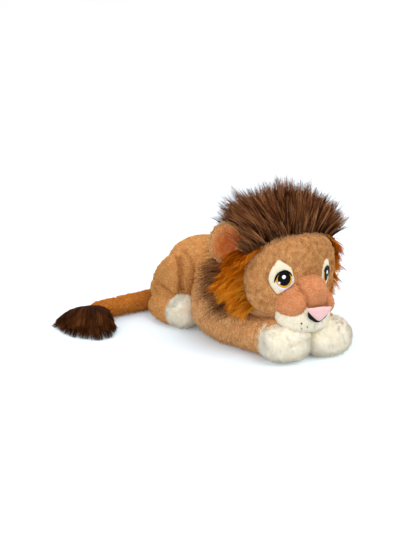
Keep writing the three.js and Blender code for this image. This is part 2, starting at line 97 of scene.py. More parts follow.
# the floor is a little blue, so that the light off the plush leaves its shadows grey
room = {"light": 0.8, "white": 1.0, "floor": (0.74, 0.82, 0.88), "floorLift": 0.08, "floorSize": 12}


def makeLamps():
    for name, lamp in lamps.items():
        light = bpy.data.lights.new(name, "SUN")
        light.angle = math.radians(lamp["spread"])
        light.energy = lamp["strength"]
        aimed(name, light, backFrom(lamp["azimuth"], lamp["elevation"]), (0, 0, 0), 1)


def fill(node, inputs):
    # each input gets a value, or a link from the output that feeds it
    for name, value in inputs.items():
        if isinstance(value, bpy.types.NodeSocket):
            node.id_data.links.new(value, node.inputs[name])
        else:
            node.inputs[name].default_value = value


def addNode(tree, kind, inputs, operation=None):
    node = tree.nodes.new("ShaderNode" + kind)
    if operation:
        node.operation = operation
    fill(node, inputs)
    return node


def newPaint(name):
    paint = bpy.data.materials.new(name)
    paint.use_nodes = True
    return paint, paint.node_tree, paint.node_tree.nodes["Principled BSDF"]


def makeRoom():
    scene = bpy.context.scene
    scene.view_settings.view_transform = "Standard"
    world = bpy.data.worlds.new("room")
    world.use_nodes = True
    scene.world = world
    tree = world.node_tree
    rays = addNode(tree, "LightPath", {}).outputs
    seen = addNode(tree, "Math", {0: rays["Is Camera Ray"], 1: rays["Is Glossy Ray"]}, "MAXIMUM")
    level = addNode(tree, "MapRange", {"Value": seen.outputs[0], "To Min": room["light"], "To Max": room["white"]})
    fill(tree.nodes["Background"], {"Color": (1, 1, 1, 1), "Strength": level.outputs[0]})

    bm = bmesh.new()
    bmesh.ops.create_grid(bm, x_segments=1, y_segments=1, size=room["floorSize"] / 2)
    floor = newObject("floor", bm)
    paint, tree, shader = newPaint("floor")
    rays = addNode(tree, "LightPath", {}).outputs
    lift = addNode(tree, "Math", {0: rays["Is Camera Ray"], 1: room["floorLift"]}, "MULTIPLY")
    fill(shader, {
        "Base Color": (*room["floor"], 1), "Roughness": 0.9, "Specular IOR Level": 0.1,
        "Emission Color": (1, 1, 1, 1), "Emission Strength": lift.outputs[0],
    })
    floor.data.materials.append(paint)


def newObject(name, bm):
    mesh = bpy.data.meshes.new(name)
    bm.to_mesh(mesh)
    bm.free()
    piece = bpy.data.objects.new(name, mesh)
    bpy.context.collection.objects.link(piece)
    return piece


makeCamera()
makeLamps()
makeRoom()
print("camera, lamps and room are set")


# modelling tools

def superBall(bm, size, place, fullness=2.0, turn=None):
    # a ball whose corners are fuller than an ellipsoid's
    made = bmesh.ops.create_icosphere(bm, subdivisions=5, radius=1)["verts"]
    half = Vector(size) * mm / 2
    for v in made:
        total = sum(abs(c) ** fullness for c in v.co) ** (-1 / fullness)
        v.co = Vector(c * total * h for c, h in zip(v.co, half))
        if turn is not None:
            v.co = turn @ v.co
        v.co += Vector(place) * mm
    return made


def alongLine(stations, share):
    # a smooth line through the stations, at a share of its way
    last = len(stations) - 1
    at = min(max(share, 0), 1 - 1e-9) * last
    i = int(at)
    t = at - i
    here, after = stations[i], stations[i + 1]
    before = stations[i - 1] if i > 0 else 2 * here - after
    beyond = stations[i + 2] if i + 2 <= last else 2 * after - here
    bend = (after - before) * t + (2 * before - 5 * here + 4 * after - beyond) * t ** 2
    return here + 0.5 * (bend + (3 * here - before - 3 * after + beyond) * t ** 3)


def stuffedTube(bm, stations, sides=44, rings=40):
    # stations are x, y, z, half width and half height
    table = np.array(stations, float)
    table[:, 3:] **= 2
    made = bmesh.ops.create_uvsphere(bm, u_segments=sides, v_segments=rings, radius=1)["verts"]
    for v in made:
        share = (1 - v.co.z) / 2
        ring = math.hypot(v.co.x, v.co.y)
        x, y, z, wide, high = alongLine(table, share)
        point = Vector((x, y, z))
        if ring > 1e-6:
            ahead = alongLine(table, share + 0.001) - alongLine(table, share - 0.001)
            tangent = Vector(ahead[:3]).normalized()
            side = Vector((-tangent.y, tangent.x, 0)).normalized()
            up = tangent.cross(side)
            point += side * (v.co.x / ring) * math.sqrt(max(wide, 0))
            point += up * (v.co.y / ring) * math.sqrt(max(high, 0))
        v.co = point * mm
    return made


def smooth(piece):
    # shaded without edges
    piece.data.polygons.foreach_set("use_smooth", [True] * len(piece.data.polygons))
    return piece


def softened(name, bm, voxel, rounds):
    # joins the balls and tubes of a form into one skin and softens where they meet
    bmesh.ops.recalc_face_normals(bm, faces=bm.faces)
    piece = newObject(name, bm)
    skin = piece.modifiers.new("skin", "REMESH")
    skin.mode = "VOXEL"
    skin.voxel_size = voxel * mm
    soft = piece.modifiers.new("soft", "SMOOTH")
    soft.factor = 0.5
    soft.iterations = rounds
    graph = bpy.context.evaluated_depsgraph_get()
    joined = bpy.data.meshes.new_from_object(piece.evaluated_get(graph))
    piece.modifiers.clear()
    piece.data = joined
    joined.name = name
    return smooth(piece)


def pointsOf(piece, kind="co"):
    found = np.empty(len(piece.data.vertices) * 3)
    piece.data.vertices.foreach_get(kind, found)
    return found.reshape(-1, 3)


def normalsOf(piece):
    return pointsOf(piece, "normal")


def movePoints(piece, points):
    piece.data.vertices.foreach_set("co", points.ravel())
    piece.data.update()


def nearestOf(points, some):
    tree = KDTree(len(some))
    for i, p in enumerate(some):
        tree.insert(p, i)
    tree.balance()
    return np.array([tree.find(p)[1] for p in points])


def press(piece, line, depth, width):
    # a sewn crease or a fold along a line of points on the cloth
    stations = np.array(line, float) * mm
    points = pointsOf(piece)
    steps = 60
    path = np.array([alongLine(stations, i / steps) for i in range(steps + 1)])
    nearest = nearestOf(path, points)
    away = np.linalg.norm(points[:, None, :] - points[nearest][None], axis=2).min(axis=1)
    push = depth * mm * np.exp(-((away / (width * mm)) ** 2))
    moved = points - normalsOf(piece) * push[:, None]
    movePoints(piece, moved)
    return moved[nearest]


def mirrored(line, side):
    # lines are written for the right side
    return [(x * -side, y, z) for x, y, z in line]


def pressed(piece, folds, side):
    # each fold has its line, depth and width
    return [(press(piece, mirrored(line, side), depth, width), depth) for line, depth, width in folds]


def unevenness(points, size, seed):
    # slow noise between about -1 and 1, in waves of a size in millimetres
    return np.array([noise.noise(Vector(p) / (size * mm) + Vector((seed, 0, 0))) for p in points])


def lumpy(piece, height, size, seed):
    # the uneven stuffing under the cloth
    points = pointsOf(piece)
    rise = unevenness(points, size, seed)
    movePoints(piece, points + normalsOf(piece) * rise[:, None] * height * mm)


def laidFlat(piece, level=0.0):
    # presses what hangs below a level up to it
    points = pointsOf(piece)
    points[:, 2] = np.maximum(points[:, 2], level * mm)
    movePoints(piece, points)


def finished(piece, material, body, slot, nodes=()):
    piece.data.materials.clear()
    piece.data.materials.append(material)
    if isinstance(body, str):
        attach(piece, body)
    else:
        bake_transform(piece)
    if nodes:
        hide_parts(*nodes)
    return piece


# materials

def colour(red, green, blue):
    # the numbers of a colour as it looks, turned to the light it reflects
    shares = [c / 255 for c in (red, green, blue)]
    return (*(s / 12.92 if s < 0.0405 else ((s + 0.055) / 1.055) ** 2.4 for s in shares), 1)


def newGroup(name, inputs, outputs):
    # a colour's usual value is a tuple, any other socket's a number
    tree = bpy.data.node_groups.new(name, "ShaderNodeTree")
    for way, sockets in (("INPUT", inputs), ("OUTPUT", outputs)):
        for label, value in sockets.items():
            kind = "NodeSocketColor" if isinstance(value, tuple) else "NodeSocketFloat"
            tree.interface.new_socket(name=label, in_out=way, socket_type=kind).default_value = value
    return tree, tree.nodes.new("NodeGroupInput").outputs, tree.nodes.new("NodeGroupOutput")


def ranged(tree, source, low, high, start=0.0, end=1.0):
    inputs = {"Value": source, "From Min": low, "From Max": high, "To Min": start, "To Max": end}
    return addNode(tree, "MapRange", inputs).outputs[0]


def mixed(tree, share, first, second, blend="MIX"):
    mix = tree.nodes.new("ShaderNodeMix")
    mix.data_type = "RGBA"
    mix.blend_type = blend
    fill(mix, {0: share, 6: first, 7: second})
    return mix.outputs[2]


def relief(tree, height, strength, depth):
    bump = addNode(tree, "Bump", {"Height": height, "Strength": strength, "Distance": depth})
    return bump.outputs["Normal"]


def ofGroup(tree, group, inputs):
    node = tree.nodes.new("ShaderNodeGroup")
    node.node_tree = group
    fill(node, inputs)
    return node.outputs


grey = (0.5, 0.5, 0.5, 1)


def makePileGroup():
    # the colour of a strand: u of its map picks the tint and v runs from root to tip; the root is darkened with
    # painted shade and the tip lightened with painted light
    inputs = {"Dark": grey, "Middle": grey, "Light": grey, "Root Shade": 0.5, "Tip Light": 0.1}
    tree, given, made = newGroup("pileColour", inputs, {"Color": grey})
    place = tree.nodes.new("ShaderNodeUVMap")
    place.uv_map = "OFBake"
    tint, height = addNode(tree, "SeparateXYZ", {0: place.outputs[0]}).outputs[:2]
    darker = mixed(tree, ranged(tree, tint, 0.0, 0.5), given["Dark"], given["Middle"])
    plain = mixed(tree, ranged(tree, tint, 0.5, 1.0), darker, given["Light"])
    # painted shade: the strand is darker towards its root
    level = ranged(tree, height, 0.0, 0.7, given["Root Shade"])
    shade = addNode(tree, "CombineXYZ", {axis: level for axis in range(3)})
    shaded = mixed(tree, 1.0, plain, shade.outputs[0], "MULTIPLY")
    # painted light: the tip turns towards a pale colour
    tip = addNode(tree, "Math", {0: ranged(tree, height, 0.6, 1.0), 1: given["Tip Light"]}, "MULTIPLY")
    tipLight = (1.0, 0.95, 0.88, 1.0)
    fill(made, {"Color": mixed(tree, tip.outputs[0], shaded, tipLight)})
    return tree


def makeClothGroup():
    # the knitted backing between the tufts, mottled like the pile above it
    inputs = {"Base": grey, "Fleck": (0.3, 0.3, 0.3, 1), "Fleck Size": 300.0}
    tree, given, made = newGroup("backingCloth", inputs, {"Color": grey, "Height": 0.0, "Roughness": 0.8})
    place = addNode(tree, "TexCoord", {}).outputs["Object"]
    inputs = {"Vector": place, "Scale": given["Fleck Size"], "Detail": 4, "Roughness": 0.65}
    flecks = addNode(tree, "TexNoise", inputs).outputs["Fac"]
    fill(made, {
        "Color": mixed(tree, ranged(tree, flecks, 0.42, 0.68), given["Base"], given["Fleck"]),
        "Height": addNode(tree, "TexVoronoi", {"Vector": place, "Scale": 900}).outputs["Distance"],
        "Roughness": ranged(tree, flecks, 0.0, 1.0, 0.75, 0.95),
    })
    return tree


pileGroup = makePileGroup()
clothGroup = makeClothGroup()


def pileMaterial(name, dark, middle, light, root=0.55, tip=0.08, sheen=0.25):
    paint, tree, shader = newPaint(name)
    strand = ofGroup(tree, pileGroup, {
        "Dark": colour(*dark), "Middle": colour(*middle), "Light": colour(*light),
        "Root Shade": root, "Tip Light": tip,
    })
    fill(shader, {
        "Base Color": strand["Color"], "Roughness": 0.8, "Specular IOR Level": 0.03,
        "Sheen Weight": sheen, "Sheen Roughness": 0.5, "Sheen Tint": colour(*light),
    })
    return paint


def clothMaterial(name, base, fleck, size=300.0, sheen=0.3, bump=0.15):
    paint, tree, shader = newPaint(name)
    cloth = ofGroup(tree, clothGroup, {"Base": colour(*base), "Fleck": colour(*fleck), "Fleck Size": size})
    fill(shader, {
        "Base Color": cloth["Color"], "Roughness": cloth["Roughness"], "Specular IOR Level": 0.2,
        "Sheen Weight": sheen, "Sheen Tint": colour(*base), "Normal": relief(tree, cloth["Height"], bump, 0.0004),
    })
    return paint


def threadMaterial(name, base, dark, size, turn=0.0, shine=0.3):
    # satin stitches that lie side by side
    paint, tree, shader = newPaint(name)
    place = addNode(tree, "TexCoord", {}).outputs["Object"]
    turned = addNode(tree, "Mapping", {"Vector": place, "Rotation": (0, math.radians(turn), 0)})
    inputs = {"Vector": turned.outputs[0], "Scale": size, "Distortion": 1.2, "Detail": 1}
    stitch = addNode(tree, "TexWave", inputs).outputs["Fac"]
    fill(shader, {
        "Base Color": mixed(tree, stitch, colour(*dark), colour(*base)),
        "Roughness": 0.45, "Specular IOR Level": shine, "Normal": relief(tree, stitch, 0.3, 0.0003),
    })
    return paint


cloths = {
    "tan": clothMaterial("tanBacking", (190, 130, 76), (166, 108, 60)),
    "face": clothMaterial("faceBacking", (178, 128, 84), (150, 100, 60)),
    "tail": clothMaterial("tailBacking", (164, 98, 42), (140, 80, 32)),
    "peach": clothMaterial("peachBacking", (196, 126, 84), (176, 104, 62)),
    "cream": clothMaterial("creamBacking", (236, 224, 198), (222, 206, 176)),
    "paw": clothMaterial("pawBacking", (238, 228, 204), (224, 210, 180)),
    # painted shade: the tuft's core is as dark as the shade among its hair
    "brown": clothMaterial("shadeBrownBacking", (44, 21, 9), (30, 14, 6), sheen=0.0),
}
piles = {
    "tan": pileMaterial("tanPile", (185, 118, 56), (221, 152, 85), (240, 179, 111), tip=0.04),
    # the sleeves' pile is lighter and pinker than the tan: partly their own colour, partly painted light where the
    # front light falls on them
    "sleeve": pileMaterial("sleevePile", (202, 134, 76), (236, 171, 112), (248, 194, 136), tip=0.04),
    # painted light: the ear's back is lighter than the tan and its tips much lighter, so that its rim stays pale
    # where it lies in shade
    "earBack": pileMaterial("litEarBackPile", (180, 116, 60), (220, 160, 102), (240, 190, 136), tip=0.3),
    "face": pileMaterial("facePile", (160, 100, 54), (217, 148, 86), (238, 178, 114), tip=0.05),
    "tail": pileMaterial("tailPile", (172, 92, 14), (208, 122, 30), (222, 144, 54)),
    "peach": pileMaterial("peachPile", (206, 124, 72), (226, 150, 98), (240, 174, 128), tip=0.04),
    "cream": pileMaterial("creamPile", (236, 222, 196), (252, 243, 222), (255, 251, 236), root=0.9, tip=0.0),
    "paw": pileMaterial("pawPile", (248, 228, 192), (255, 244, 220), (255, 250, 232), root=0.92, tip=0.0),
    "brown": pileMaterial("brownHair", (26, 11, 4), (84, 44, 20), (166, 112, 72), root=0.26, tip=0.0, sheen=0),
    "gold": pileMaterial("goldHair", (120, 42, 0), (203, 101, 0), (243, 160, 46), root=0.5, tip=0.0, sheen=0),
    "ear": pileMaterial("earPile", (218, 90, 12), (252, 152, 78), (255, 190, 122), root=0.75, tip=0.02),
    "tuft": pileMaterial("tuftHair", (26, 11, 3), (68, 34, 13), (112, 66, 33), root=0.35, tip=0.0, sheen=0),
}
threads = {
    "white": threadMaterial("whiteThread", (236, 232, 248), (214, 208, 232), 380),
    "iris": threadMaterial("irisThread", (228, 176, 40), (186, 132, 18), 300),
    "pupil": threadMaterial("pupilThread", (12, 10, 10), (4, 4, 4), 380, shine=0.08),
    "glint": threadMaterial("glintThread", (252, 252, 255), (232, 232, 244), 420),
    "spark": threadMaterial("sparkThread", (240, 238, 252), (214, 208, 232), 420),
    "lid": threadMaterial("lidThread", (12, 10, 10), (4, 4, 4), 420, turn=60, shine=0.08),
    "black": clothMaterial("blackFelt", (14, 12, 11), (6, 5, 5), size=900.0, sheen=0),
    "nose": clothMaterial("noseSatin", (228, 188, 184), (218, 172, 172), size=700.0, sheen=0.2, bump=0.08),
    "patch": clothMaterial("patchVelour", (228, 218, 192), (214, 200, 170), size=700.0, sheen=0.1),
}
print("materials are made")


# fur: every tuft and strand is its own small closed shape

def strandShape(rings, tipShare):
    bm = bmesh.new()
    bmesh.ops.create_cone(bm, cap_ends=True, segments=3, radius1=1, radius2=tipShare, depth=1)
    for i in range(1, rings):
        everything = bm.verts[:] + bm.edges[:] + bm.faces[:]
        level = (0, 0, i / rings - 0.5)
        bmesh.ops.bisect_plane(bm, geom=everything, plane_co=level, plane_no=(0, 0, 1))
    bmesh.ops.triangulate(bm, faces=bm.faces[:])
    bm.verts.index_update()
    corners = np.array([v.co for v in bm.verts])
    faces = np.array([[v.index for v in f.verts] for f in bm.faces])
    bm.free()
    return corners, faces


def unit(vectors):
    return vectors / np.maximum(np.linalg.norm(vectors, axis=-1, keepdims=True), 1e-9)


def grown(name, paths, thick, tints, taper):
    # paths are strands x stations x 3; thick is each strand's radius at its root
    count, stations = paths.shape[:2]
    corners, faces = strandShape(stations - 1, 0.0 if stations == 2 else taper)
    ring = np.clip(np.rint((corners[:, 2] + 0.5) * (stations - 1)), 0, stations - 1).astype(int)
    angle = np.arctan2(corners[:, 1], corners[:, 0])[None, :, None]
    wide = np.hypot(corners[:, 0], corners[:, 1]) > 1e-6
    # each strand's rings are square to its way and aren't twisted along it
    ways = unit(np.gradient(paths, axis=1))
    steady = np.array([0.31, 0.22, 0.92]) + 0.2 * ways[:, 0, ::-1]
    across = unit(np.cross(ways[:, 0], steady))[:, None, :]
    across = unit(across - ways * (across * ways).sum(-1, keepdims=True))
    over = np.cross(ways, across)
    radius = thick[:, None] * (taper + (1 - taper) * (1 - np.linspace(0, 1, stations) ** 1.6))[None]
    spread = np.cos(angle) * across[:, ring] + np.sin(angle) * over[:, ring]
    points = paths[:, ring] + spread * (radius[:, ring] * wide)[..., None]
    every = (faces[None] + (np.arange(count) * len(corners))[:, None, None]).reshape(-1, 3)
    mesh = bpy.data.meshes.new(name)
    mesh.vertices.add(count * len(corners))
    mesh.vertices.foreach_set("co", points.ravel())
    mesh.loops.add(every.size)
    mesh.loops.foreach_set("vertex_index", every.ravel())
    mesh.polygons.add(len(every))
    mesh.polygons.foreach_set("loop_start", np.arange(0, every.size, 3))
    mesh.polygons.foreach_set("use_smooth", np.ones(len(every), bool))
    mesh.update(calc_edges=True)
    # the map stays a little inside its edges
    tint = np.repeat(np.clip(tints, 0.02, 0.98), faces.size)
    height = np.tile((corners[faces.ravel(), 2] + 0.5) * 0.96 + 0.02, count)
    uv = mesh.uv_layers.new(name="OFBake")
    uv.data.foreach_set("uv", np.stack([tint, height], axis=1).ravel())
    piece = bpy.data.objects.new(name, mesh)
    bpy.context.collection.objects.link(piece)
    return piece


def shadedAs(piece, normals, share):
    # each strand takes light much as the cloth below it does, which is how dense fur looks
    own = normalsOf(piece)
    given = np.repeat(normals, len(own) // len(normals), axis=0)
    piece.data.normals_split_custom_set_from_vertices(unit(own * (1 - share) + given * share))


def scattered(piece, count, chance, keep):
    # roots spread evenly over a piece's cloth, with the way out of it at each
    mesh = piece.data
    mesh.calc_loop_triangles()
    corners = np.empty(len(mesh.loop_triangles) * 3, int)
    mesh.loop_triangles.foreach_get("vertices", corners)
    corners = corners.reshape(-1, 3)
    normals = normalsOf(piece)
    sides = pointsOf(piece)[corners]
    area = np.linalg.norm(np.cross(sides[:, 1] - sides[:, 0], sides[:, 2] - sides[:, 0]), axis=1)
    area = area * keep(sides.mean(axis=1), unit(normals[corners].mean(axis=1)))
    chosen = chance.choice(len(corners), count, p=area / area.sum())
    share = chance.random((count, 2))
    share = np.where(share.sum(axis=1, keepdims=True) > 1, 1 - share, share)
    weights = np.column_stack([1 - share.sum(axis=1), share])[..., None]
    return (sides[chosen] * weights).sum(axis=1), unit((normals[corners[chosen]] * weights).sum(axis=1))


def pile(name, cloth, settings, keep, side=0):
    # short pile that leans along the way it was brushed and gathers in small clumps
    settings = {**shortPile, **settings}
    seed = settings["seed"] + side
    chance = np.random.default_rng(seed)
    count = int(settings["count"] * strandShare)
    roots, normals = scattered(cloth, count, chance, keep)
    brushed = np.array(settings["brushed"], float)
    flow = brushed - normals * (normals @ brushed)[:, None]
    lean = math.radians(settings["lean"])
    way = normals * math.cos(lean) + unit(flow) * math.sin(lean)
    way = unit(way + chance.normal(0, settings["loose"], (count, 3)))
    length = settings["length"] * mm * (1 + settings["lengthVary"] * chance.normal(0, 1, count).clip(-2, 2))
    start = roots - normals * settings["sunk"] * mm
    shares = np.array([0.0, 1.0])[None, :, None]
    paths = start[:, None] + (way * length[:, None])[:, None] * shares
    centres = chance.choice(count, max(int(count * settings["clumps"]), 1), replace=False)
    nearest = centres[nearestOf(roots, roots[centres])]
    paths = paths + (paths[nearest, -1:] - paths[:, -1:]) * settings["pull"] * shares
    heather = unevenness(roots, settings["heather"], seed)
    tints = 0.5 + settings["mottle"] * heather + chance.normal(0, settings["vary"], count)
    steps, shareOf = settings["flecks"]
    tints = tints + chance.choice(steps, count, p=shareOf) + settings["tintBy"](roots)
    thick = settings["thick"] * mm / math.sqrt(strandShare) * (0.8 + 0.4 * chance.random(count))
    fur = grown(name, paths, thick, tints, settings["taper"])
    shadedAs(fur, unit(normals + 0.5 * way), settings["even"])
    # light passes through short pile, so it shades nothing by itself; the painted shade at its roots stands for its
    # own shadow
    fur.visible_shadow = False
    fur.visible_diffuse = False
    return fur


# what the short piles have in common; a piece's own dictionary changes what differs
shortPile = {
    "clumps": 0.1, "pull": 0.5, "heather": 7, "mottle": 0.35, "vary": 0.12, "even": 0.8,
    "sunk": 0.4, "taper": 0.3, "lengthVary": 0.25, "tintBy": lambda p: 0,
    "flecks": ([0, -0.2], [0.95, 0.05]),  # one strand in twenty is darker
}
creamPile = {
    "lean": 30, "loose": 0.3, "brushed": (0, -1, -0.3), "clumps": 0.03, "pull": 0.35, "heather": 9,
    "mottle": 0.4, "even": 0.88,
}
facePile = {"clumps": 0.12, "pull": 0.45, "heather": 6}
# the toy lies on its cloth, so the lowest 3 mm are bare; places of pile are in metres
bareBelow = 0.003


def offFloor(points, normals):
    return points[:, 2] > bareBelow


def parted(settings, folds):
    # along the deep folds the pile is bare, and painted shade darkens it beside them
    path = np.concatenate([line for line, depth in folds if depth > settings["deep"]])

    def away(points):
        return np.linalg.norm(points - path[nearestOf(points, path)], axis=1) / mm

    # painted shade: the tint falls beside the folds
    def shade(points):
        return -settings["darker"] * np.exp(-((away(points) / settings["shade"]) ** 2))

    return {**settings, "tintBy": shade}, lambda p, n: offFloor(p, n) & (away(p) > settings["bare"])


# body and limbs

body = {
    "stations": [
        (0, -99, 56.5, 0, 0),
        (0, -75.3, 50.9, 44.4, 42),
        (0, -37.1, 52.3, 51.4, 50.8),
        (0, 2.9, 54.5, 54.8, 53.1),
        (0, 41.1, 55.5, 55.5, 53.5),
        (0, 66, 46.5, 43, 38),
        (0, 79, 46.5, 0, 0),
    ],
    "folds": [
        ([(-46, 30, 98), (-52, 18, 93), (-57, 6, 86), (-59, -2, 74), (-60, -3, 59), (-59, 0, 46.6),
          (-58, 6, 36)], 11, 4.2),
        ([(-48.6, 9.6, 86.9), (-54.5, -8.5, 74.2), (-56.5, -20.6, 59.6), (-55.5, -30.8, 45.4)], 1.6, 5),
        ([(-52, -18, 84), (-56, -30, 70), (-57, -40, 56)], 1.2, 4),
    ],
    "lumps": {"height": 1.6, "size": 34, "seed": 3},
    # beside its deep folds the pile is darkened with painted shade
    "pile": {
        "seed": 11, "count": 36000, "length": 3.4, "thick": 0.66, "lean": 50, "loose": 0.22,
        "brushed": (0, 1, -0.45), "deep": 6, "darker": 0.6, "shade": 6, "bare": 3,
    },
    "pileFront": -0.09,  # the head hides what is in front of this
}


def makeBody():
    bm = bmesh.new()
    stuffedTube(bm, body["stations"])
    skin = softened("body", bm, voxel=2.5, rounds=4)
    folds = pressed(skin, body["folds"], 1) + pressed(skin, body["folds"], -1)
    settings, keep = parted(body["pile"], folds)
    lumpy(skin, **body["lumps"])
    laidFlat(skin)
    nodes = ["body_skin", "body_filling"]
    finished(skin, cloths["tan"], "torso", "tan_plush", nodes)
    fur = pile("bodyPile", skin, settings, lambda p, n: keep(p, n) & (p[:, 1] > body["pileFront"]))
    finished(fur, piles["tan"], "torso", "tan_plush")


def bendAt(limb, joint, name, side):
    # the torso, the joint's name and the two places of its hinge, from the torso's side to the leg's
    (x, *start), (far, *end) = limb["hinge"]
    return "torso", joint + name, (side * x, *start), (side * far, *end)


def makeFoot(name, side, foot, form):
    # the cream end of a leg, with its toe lines and its fluff
    x, y, z = form["place"]
    leg = foot["leg"] + name
    bm = bmesh.new()
    turn = Matrix.Rotation(math.radians(form["turn"]), 3, "Z")
    superBall(bm, form["size"], (side * x, y, z), form["fullness"], turn)
    ball = softened(foot["piece"] + "_" + name, bm, foot["voxel"], rounds=2)
    # toe lines are written for the foot they are on
    pressed(ball, form["toes"], -1)
    lumpy(ball, foot["lump"], foot["lumpSize"], foot["seed"] + side)
    laidFlat(ball)
    finished(ball, cloths["paw"], leg, "cream_plush", [foot["node"] + name])
    fur = pile(foot["piece"] + "Pile_" + name, ball, foot["pile"], offFloor, side)
    finished(fur, piles["paw"], leg, "cream_plush")


frontLeg = {
    "reach": {"right": 142, "left": 150},
    "rootLength": 20,
    "pawSpread": 34,
    "shoulder": (50, -17),
    "height": 86,
    "width": 54,
    # share of the way, share inwards, middle, half width and half height
    "shares": [
        (0, 0, 0.52, 0, 0),
        (0.13, 0, 0.5, 0.44, 0.41),
        (0.32, 0.02, 0.4, 0.5, 0.4),
        (0.56, 0.42, 0.335, 0.47, 0.335),
        (0.78, 0.95, 0.32, 0.46, 0.315),
        (0.94, 1.2, 0.33, 0.47, 0.31),
        (1, 1.2, 0.34, 0, 0),
    ],
    "inset": 2,
    "folds": [
        ([(-50, -159, 48), (-58, -161, 39), (-60, -161, 29), (-58, -161, 18)], 1.6, 2.6),
        ([(-56, -148, 49), (-63, -147, 39), (-64, -147, 28), (-62, -149, 18)], 2.0, 3),
        ([(-62, -132, 48), (-67, -127, 36), (-68, -124, 25), (-66, -124, 15)], 1.8, 3.2),
        ([(-66, -112, 44), (-69, -104, 28), (-67, -97, 14)], 1.6, 3.4),
        ([(-74, -40, 30), (-72, -58, 15), (-70, -80, 9)], 1.4, 4),
    ],
    "lumps": {"height": 1.4, "size": 22, "seed": 5},
    "pile": {
        "seed": 21, "count": 16500, "length": 3.6, "thick": 0.68, "lean": 48, "loose": 0.24,
        "brushed": (0, -0.6, -1), "mottle": 0.5, "vary": 0.16,
    },
    "hinge": ((0.046, 0.0, 0.03), (0.046, -0.06, 0.03)),
    "underPaw": 0.9,  # no pile within this share of the paw's form
    "foot": {
        "piece": "frontPaw", "leg": "front_leg_", "node": "front_paw_",
        "voxel": 2, "lump": 1.4, "lumpSize": 15, "seed": 7,
        "pile": {**creamPile, "seed": 31, "count": 14500, "length": 4.6, "thick": 0.6},
    },
    "paws": {
        "right": {
            "size": (60, 66, 45), "fullness": 2.7, "place": (26.5, -169.5, 26), "turn": -14,
            "toes": [
                ([(-41, -199, 45), (-40.6, -203.8, 41.7), (-39.6, -207.5, 36.2), (-38.3, -209.4, 30),
                  (-37.7, -209.7, 22.7), (-38, -208, 15)], 2.6, 2.6),
                ([(-55, -195, 41), (-55.5, -200, 34), (-55.6, -201, 26.6), (-55, -199, 17)], 1.4, 2.6),
            ],
        },
        "left": {
            "size": (61, 59, 44), "fullness": 2.3, "place": (31.5, -183, 23.5), "turn": -12,
            "toes": [
                ([(5.4, -202, 42), (8.1, -208.6, 37.3), (11.8, -213.9, 30.9), (14.7, -214.5, 22.9),
                  (15.7, -213, 14.3)], 2.2, 2.8),
                ([(34, -208, 40), (36, -213, 32), (37, -214, 22), (36, -212, 14)], 1.4, 3),
            ],
        },
    },
}


def makeFrontLeg(name, side):
    spread, start = frontLeg["shoulder"]
    full = frontLeg["width"], frontLeg["height"]
    rows = []
    for share, inward, middle, wide, high in frontLeg["shares"]:
        x = spread + (frontLeg["pawSpread"] - spread) * inward
        y = start - share * (frontLeg["reach"][name] + frontLeg["rootLength"])
        half = [max(part * size - frontLeg["inset"], 0) for part, size in zip((wide, high), full)]
        rows.append((side * x, y, middle * frontLeg["height"], *half))
    bm = bmesh.new()
    stuffedTube(bm, rows)
    sleeve = softened("frontLeg_" + name, bm, voxel=2.2, rounds=4)
    pressed(sleeve, frontLeg["folds"], side)
    lumpy(sleeve, **frontLeg["lumps"])
    laidFlat(sleeve)
    bends = bendAt(frontLeg, "front_leg_", name, side)
    nodes = ["front_leg_" + name, "front_leg_filling_" + name]
    finished(sleeve, cloths["tan"], bends, "tan_plush", nodes)

    form = frontLeg["paws"][name]
    x, y, z = form["place"]
    middle, half = np.array((side * x, y, z)) * mm, np.array(form["size"]) * mm / 2

    def outsidePaw(points, normals):
        return offFloor(points, normals) & (np.linalg.norm((points - middle) / half, axis=1) >= frontLeg["underPaw"])

    fur = pile("frontLegPile_" + name, sleeve, frontLeg["pile"], outsidePaw, side)
    finished(fur, piles["sleeve"], bends, "tan_plush")
    makeFoot(name, side, frontLeg["foot"], form)


hindLeg = {
    "thigh": {"size": (48, 63, 97), "place": (52, 34.5, 51), "fullness": 2.35, "tilt": 41},
    "shank": [
        (68, 63, 19.5, 0, 0), (68, 50.6, 19.5, 16.4, 16.4), (68, 32, 19.5, 18, 18),
        (68, 13.4, 19.5, 15.6, 15.6), (68, 1, 19.5, 0, 0),
    ],
    "folds": [
        ([(-70, 66, 53), (-75.3, 48.3, 53.5), (-76.5, 34, 52.4), (-73.6, 15.5, 46.6), (-68, 7.5, 43),
          (-63, 2, 41)], 9, 2.4),
        ([(-75.3, 48.3, 53.5), (-76.5, 34, 52.4), (-73.6, 15.5, 46.6)], 2, 6),
        ([(-49, 30, 100), (-54, 19, 95.3), (-60.6, 7.3, 89.5), (-65.6, -1, 74.3), (-65.6, -2, 59.2),
          (-62.8, 1, 46.6), (-59, 6.4, 36)], 10, 2.6),
        ([(-54, 19, 95.3), (-60.6, 7.3, 89.5), (-65.6, -1, 74.3), (-65.6, -2, 59.2), (-62.8, 1, 46.6)], 3, 7),
        ([(-82, 52, 30), (-82, 44, 22), (-82, 36, 14)], 1.4, 3.4),
        ([(-80, 64, 26), (-81, 57, 18), (-81, 50, 10)], 1.2, 3),
    ],
    "lumps": {"height": 1.4, "size": 24, "seed": 9},
    # beside its deep folds the pile is darkened with painted shade
    "pile": {
        "seed": 41, "count": 16500, "length": 3.5, "thick": 0.65, "lean": 48, "loose": 0.24,
        "brushed": (0, 0.5, -1), "deep": 6, "darker": 0.6, "shade": 5, "bare": 2.7,
    },
    "hinge": ((0.05, 0.09, 0.03), (0.05, 0.04, 0.03)),
    "foot": {
        "piece": "hindFoot", "leg": "hind_leg_", "node": "hind_foot_",
        "voxel": 1.8, "lump": 2.4, "lumpSize": 13, "seed": 13,
        "pile": {**creamPile, "seed": 51, "count": 9500, "length": 4.4, "thick": 0.56},
    },
    "ball": {"size": (43, 45, 42), "place": (61.5, 0.5, 21.5), "fullness": 2.0, "turn": 0, "toes": []},
}


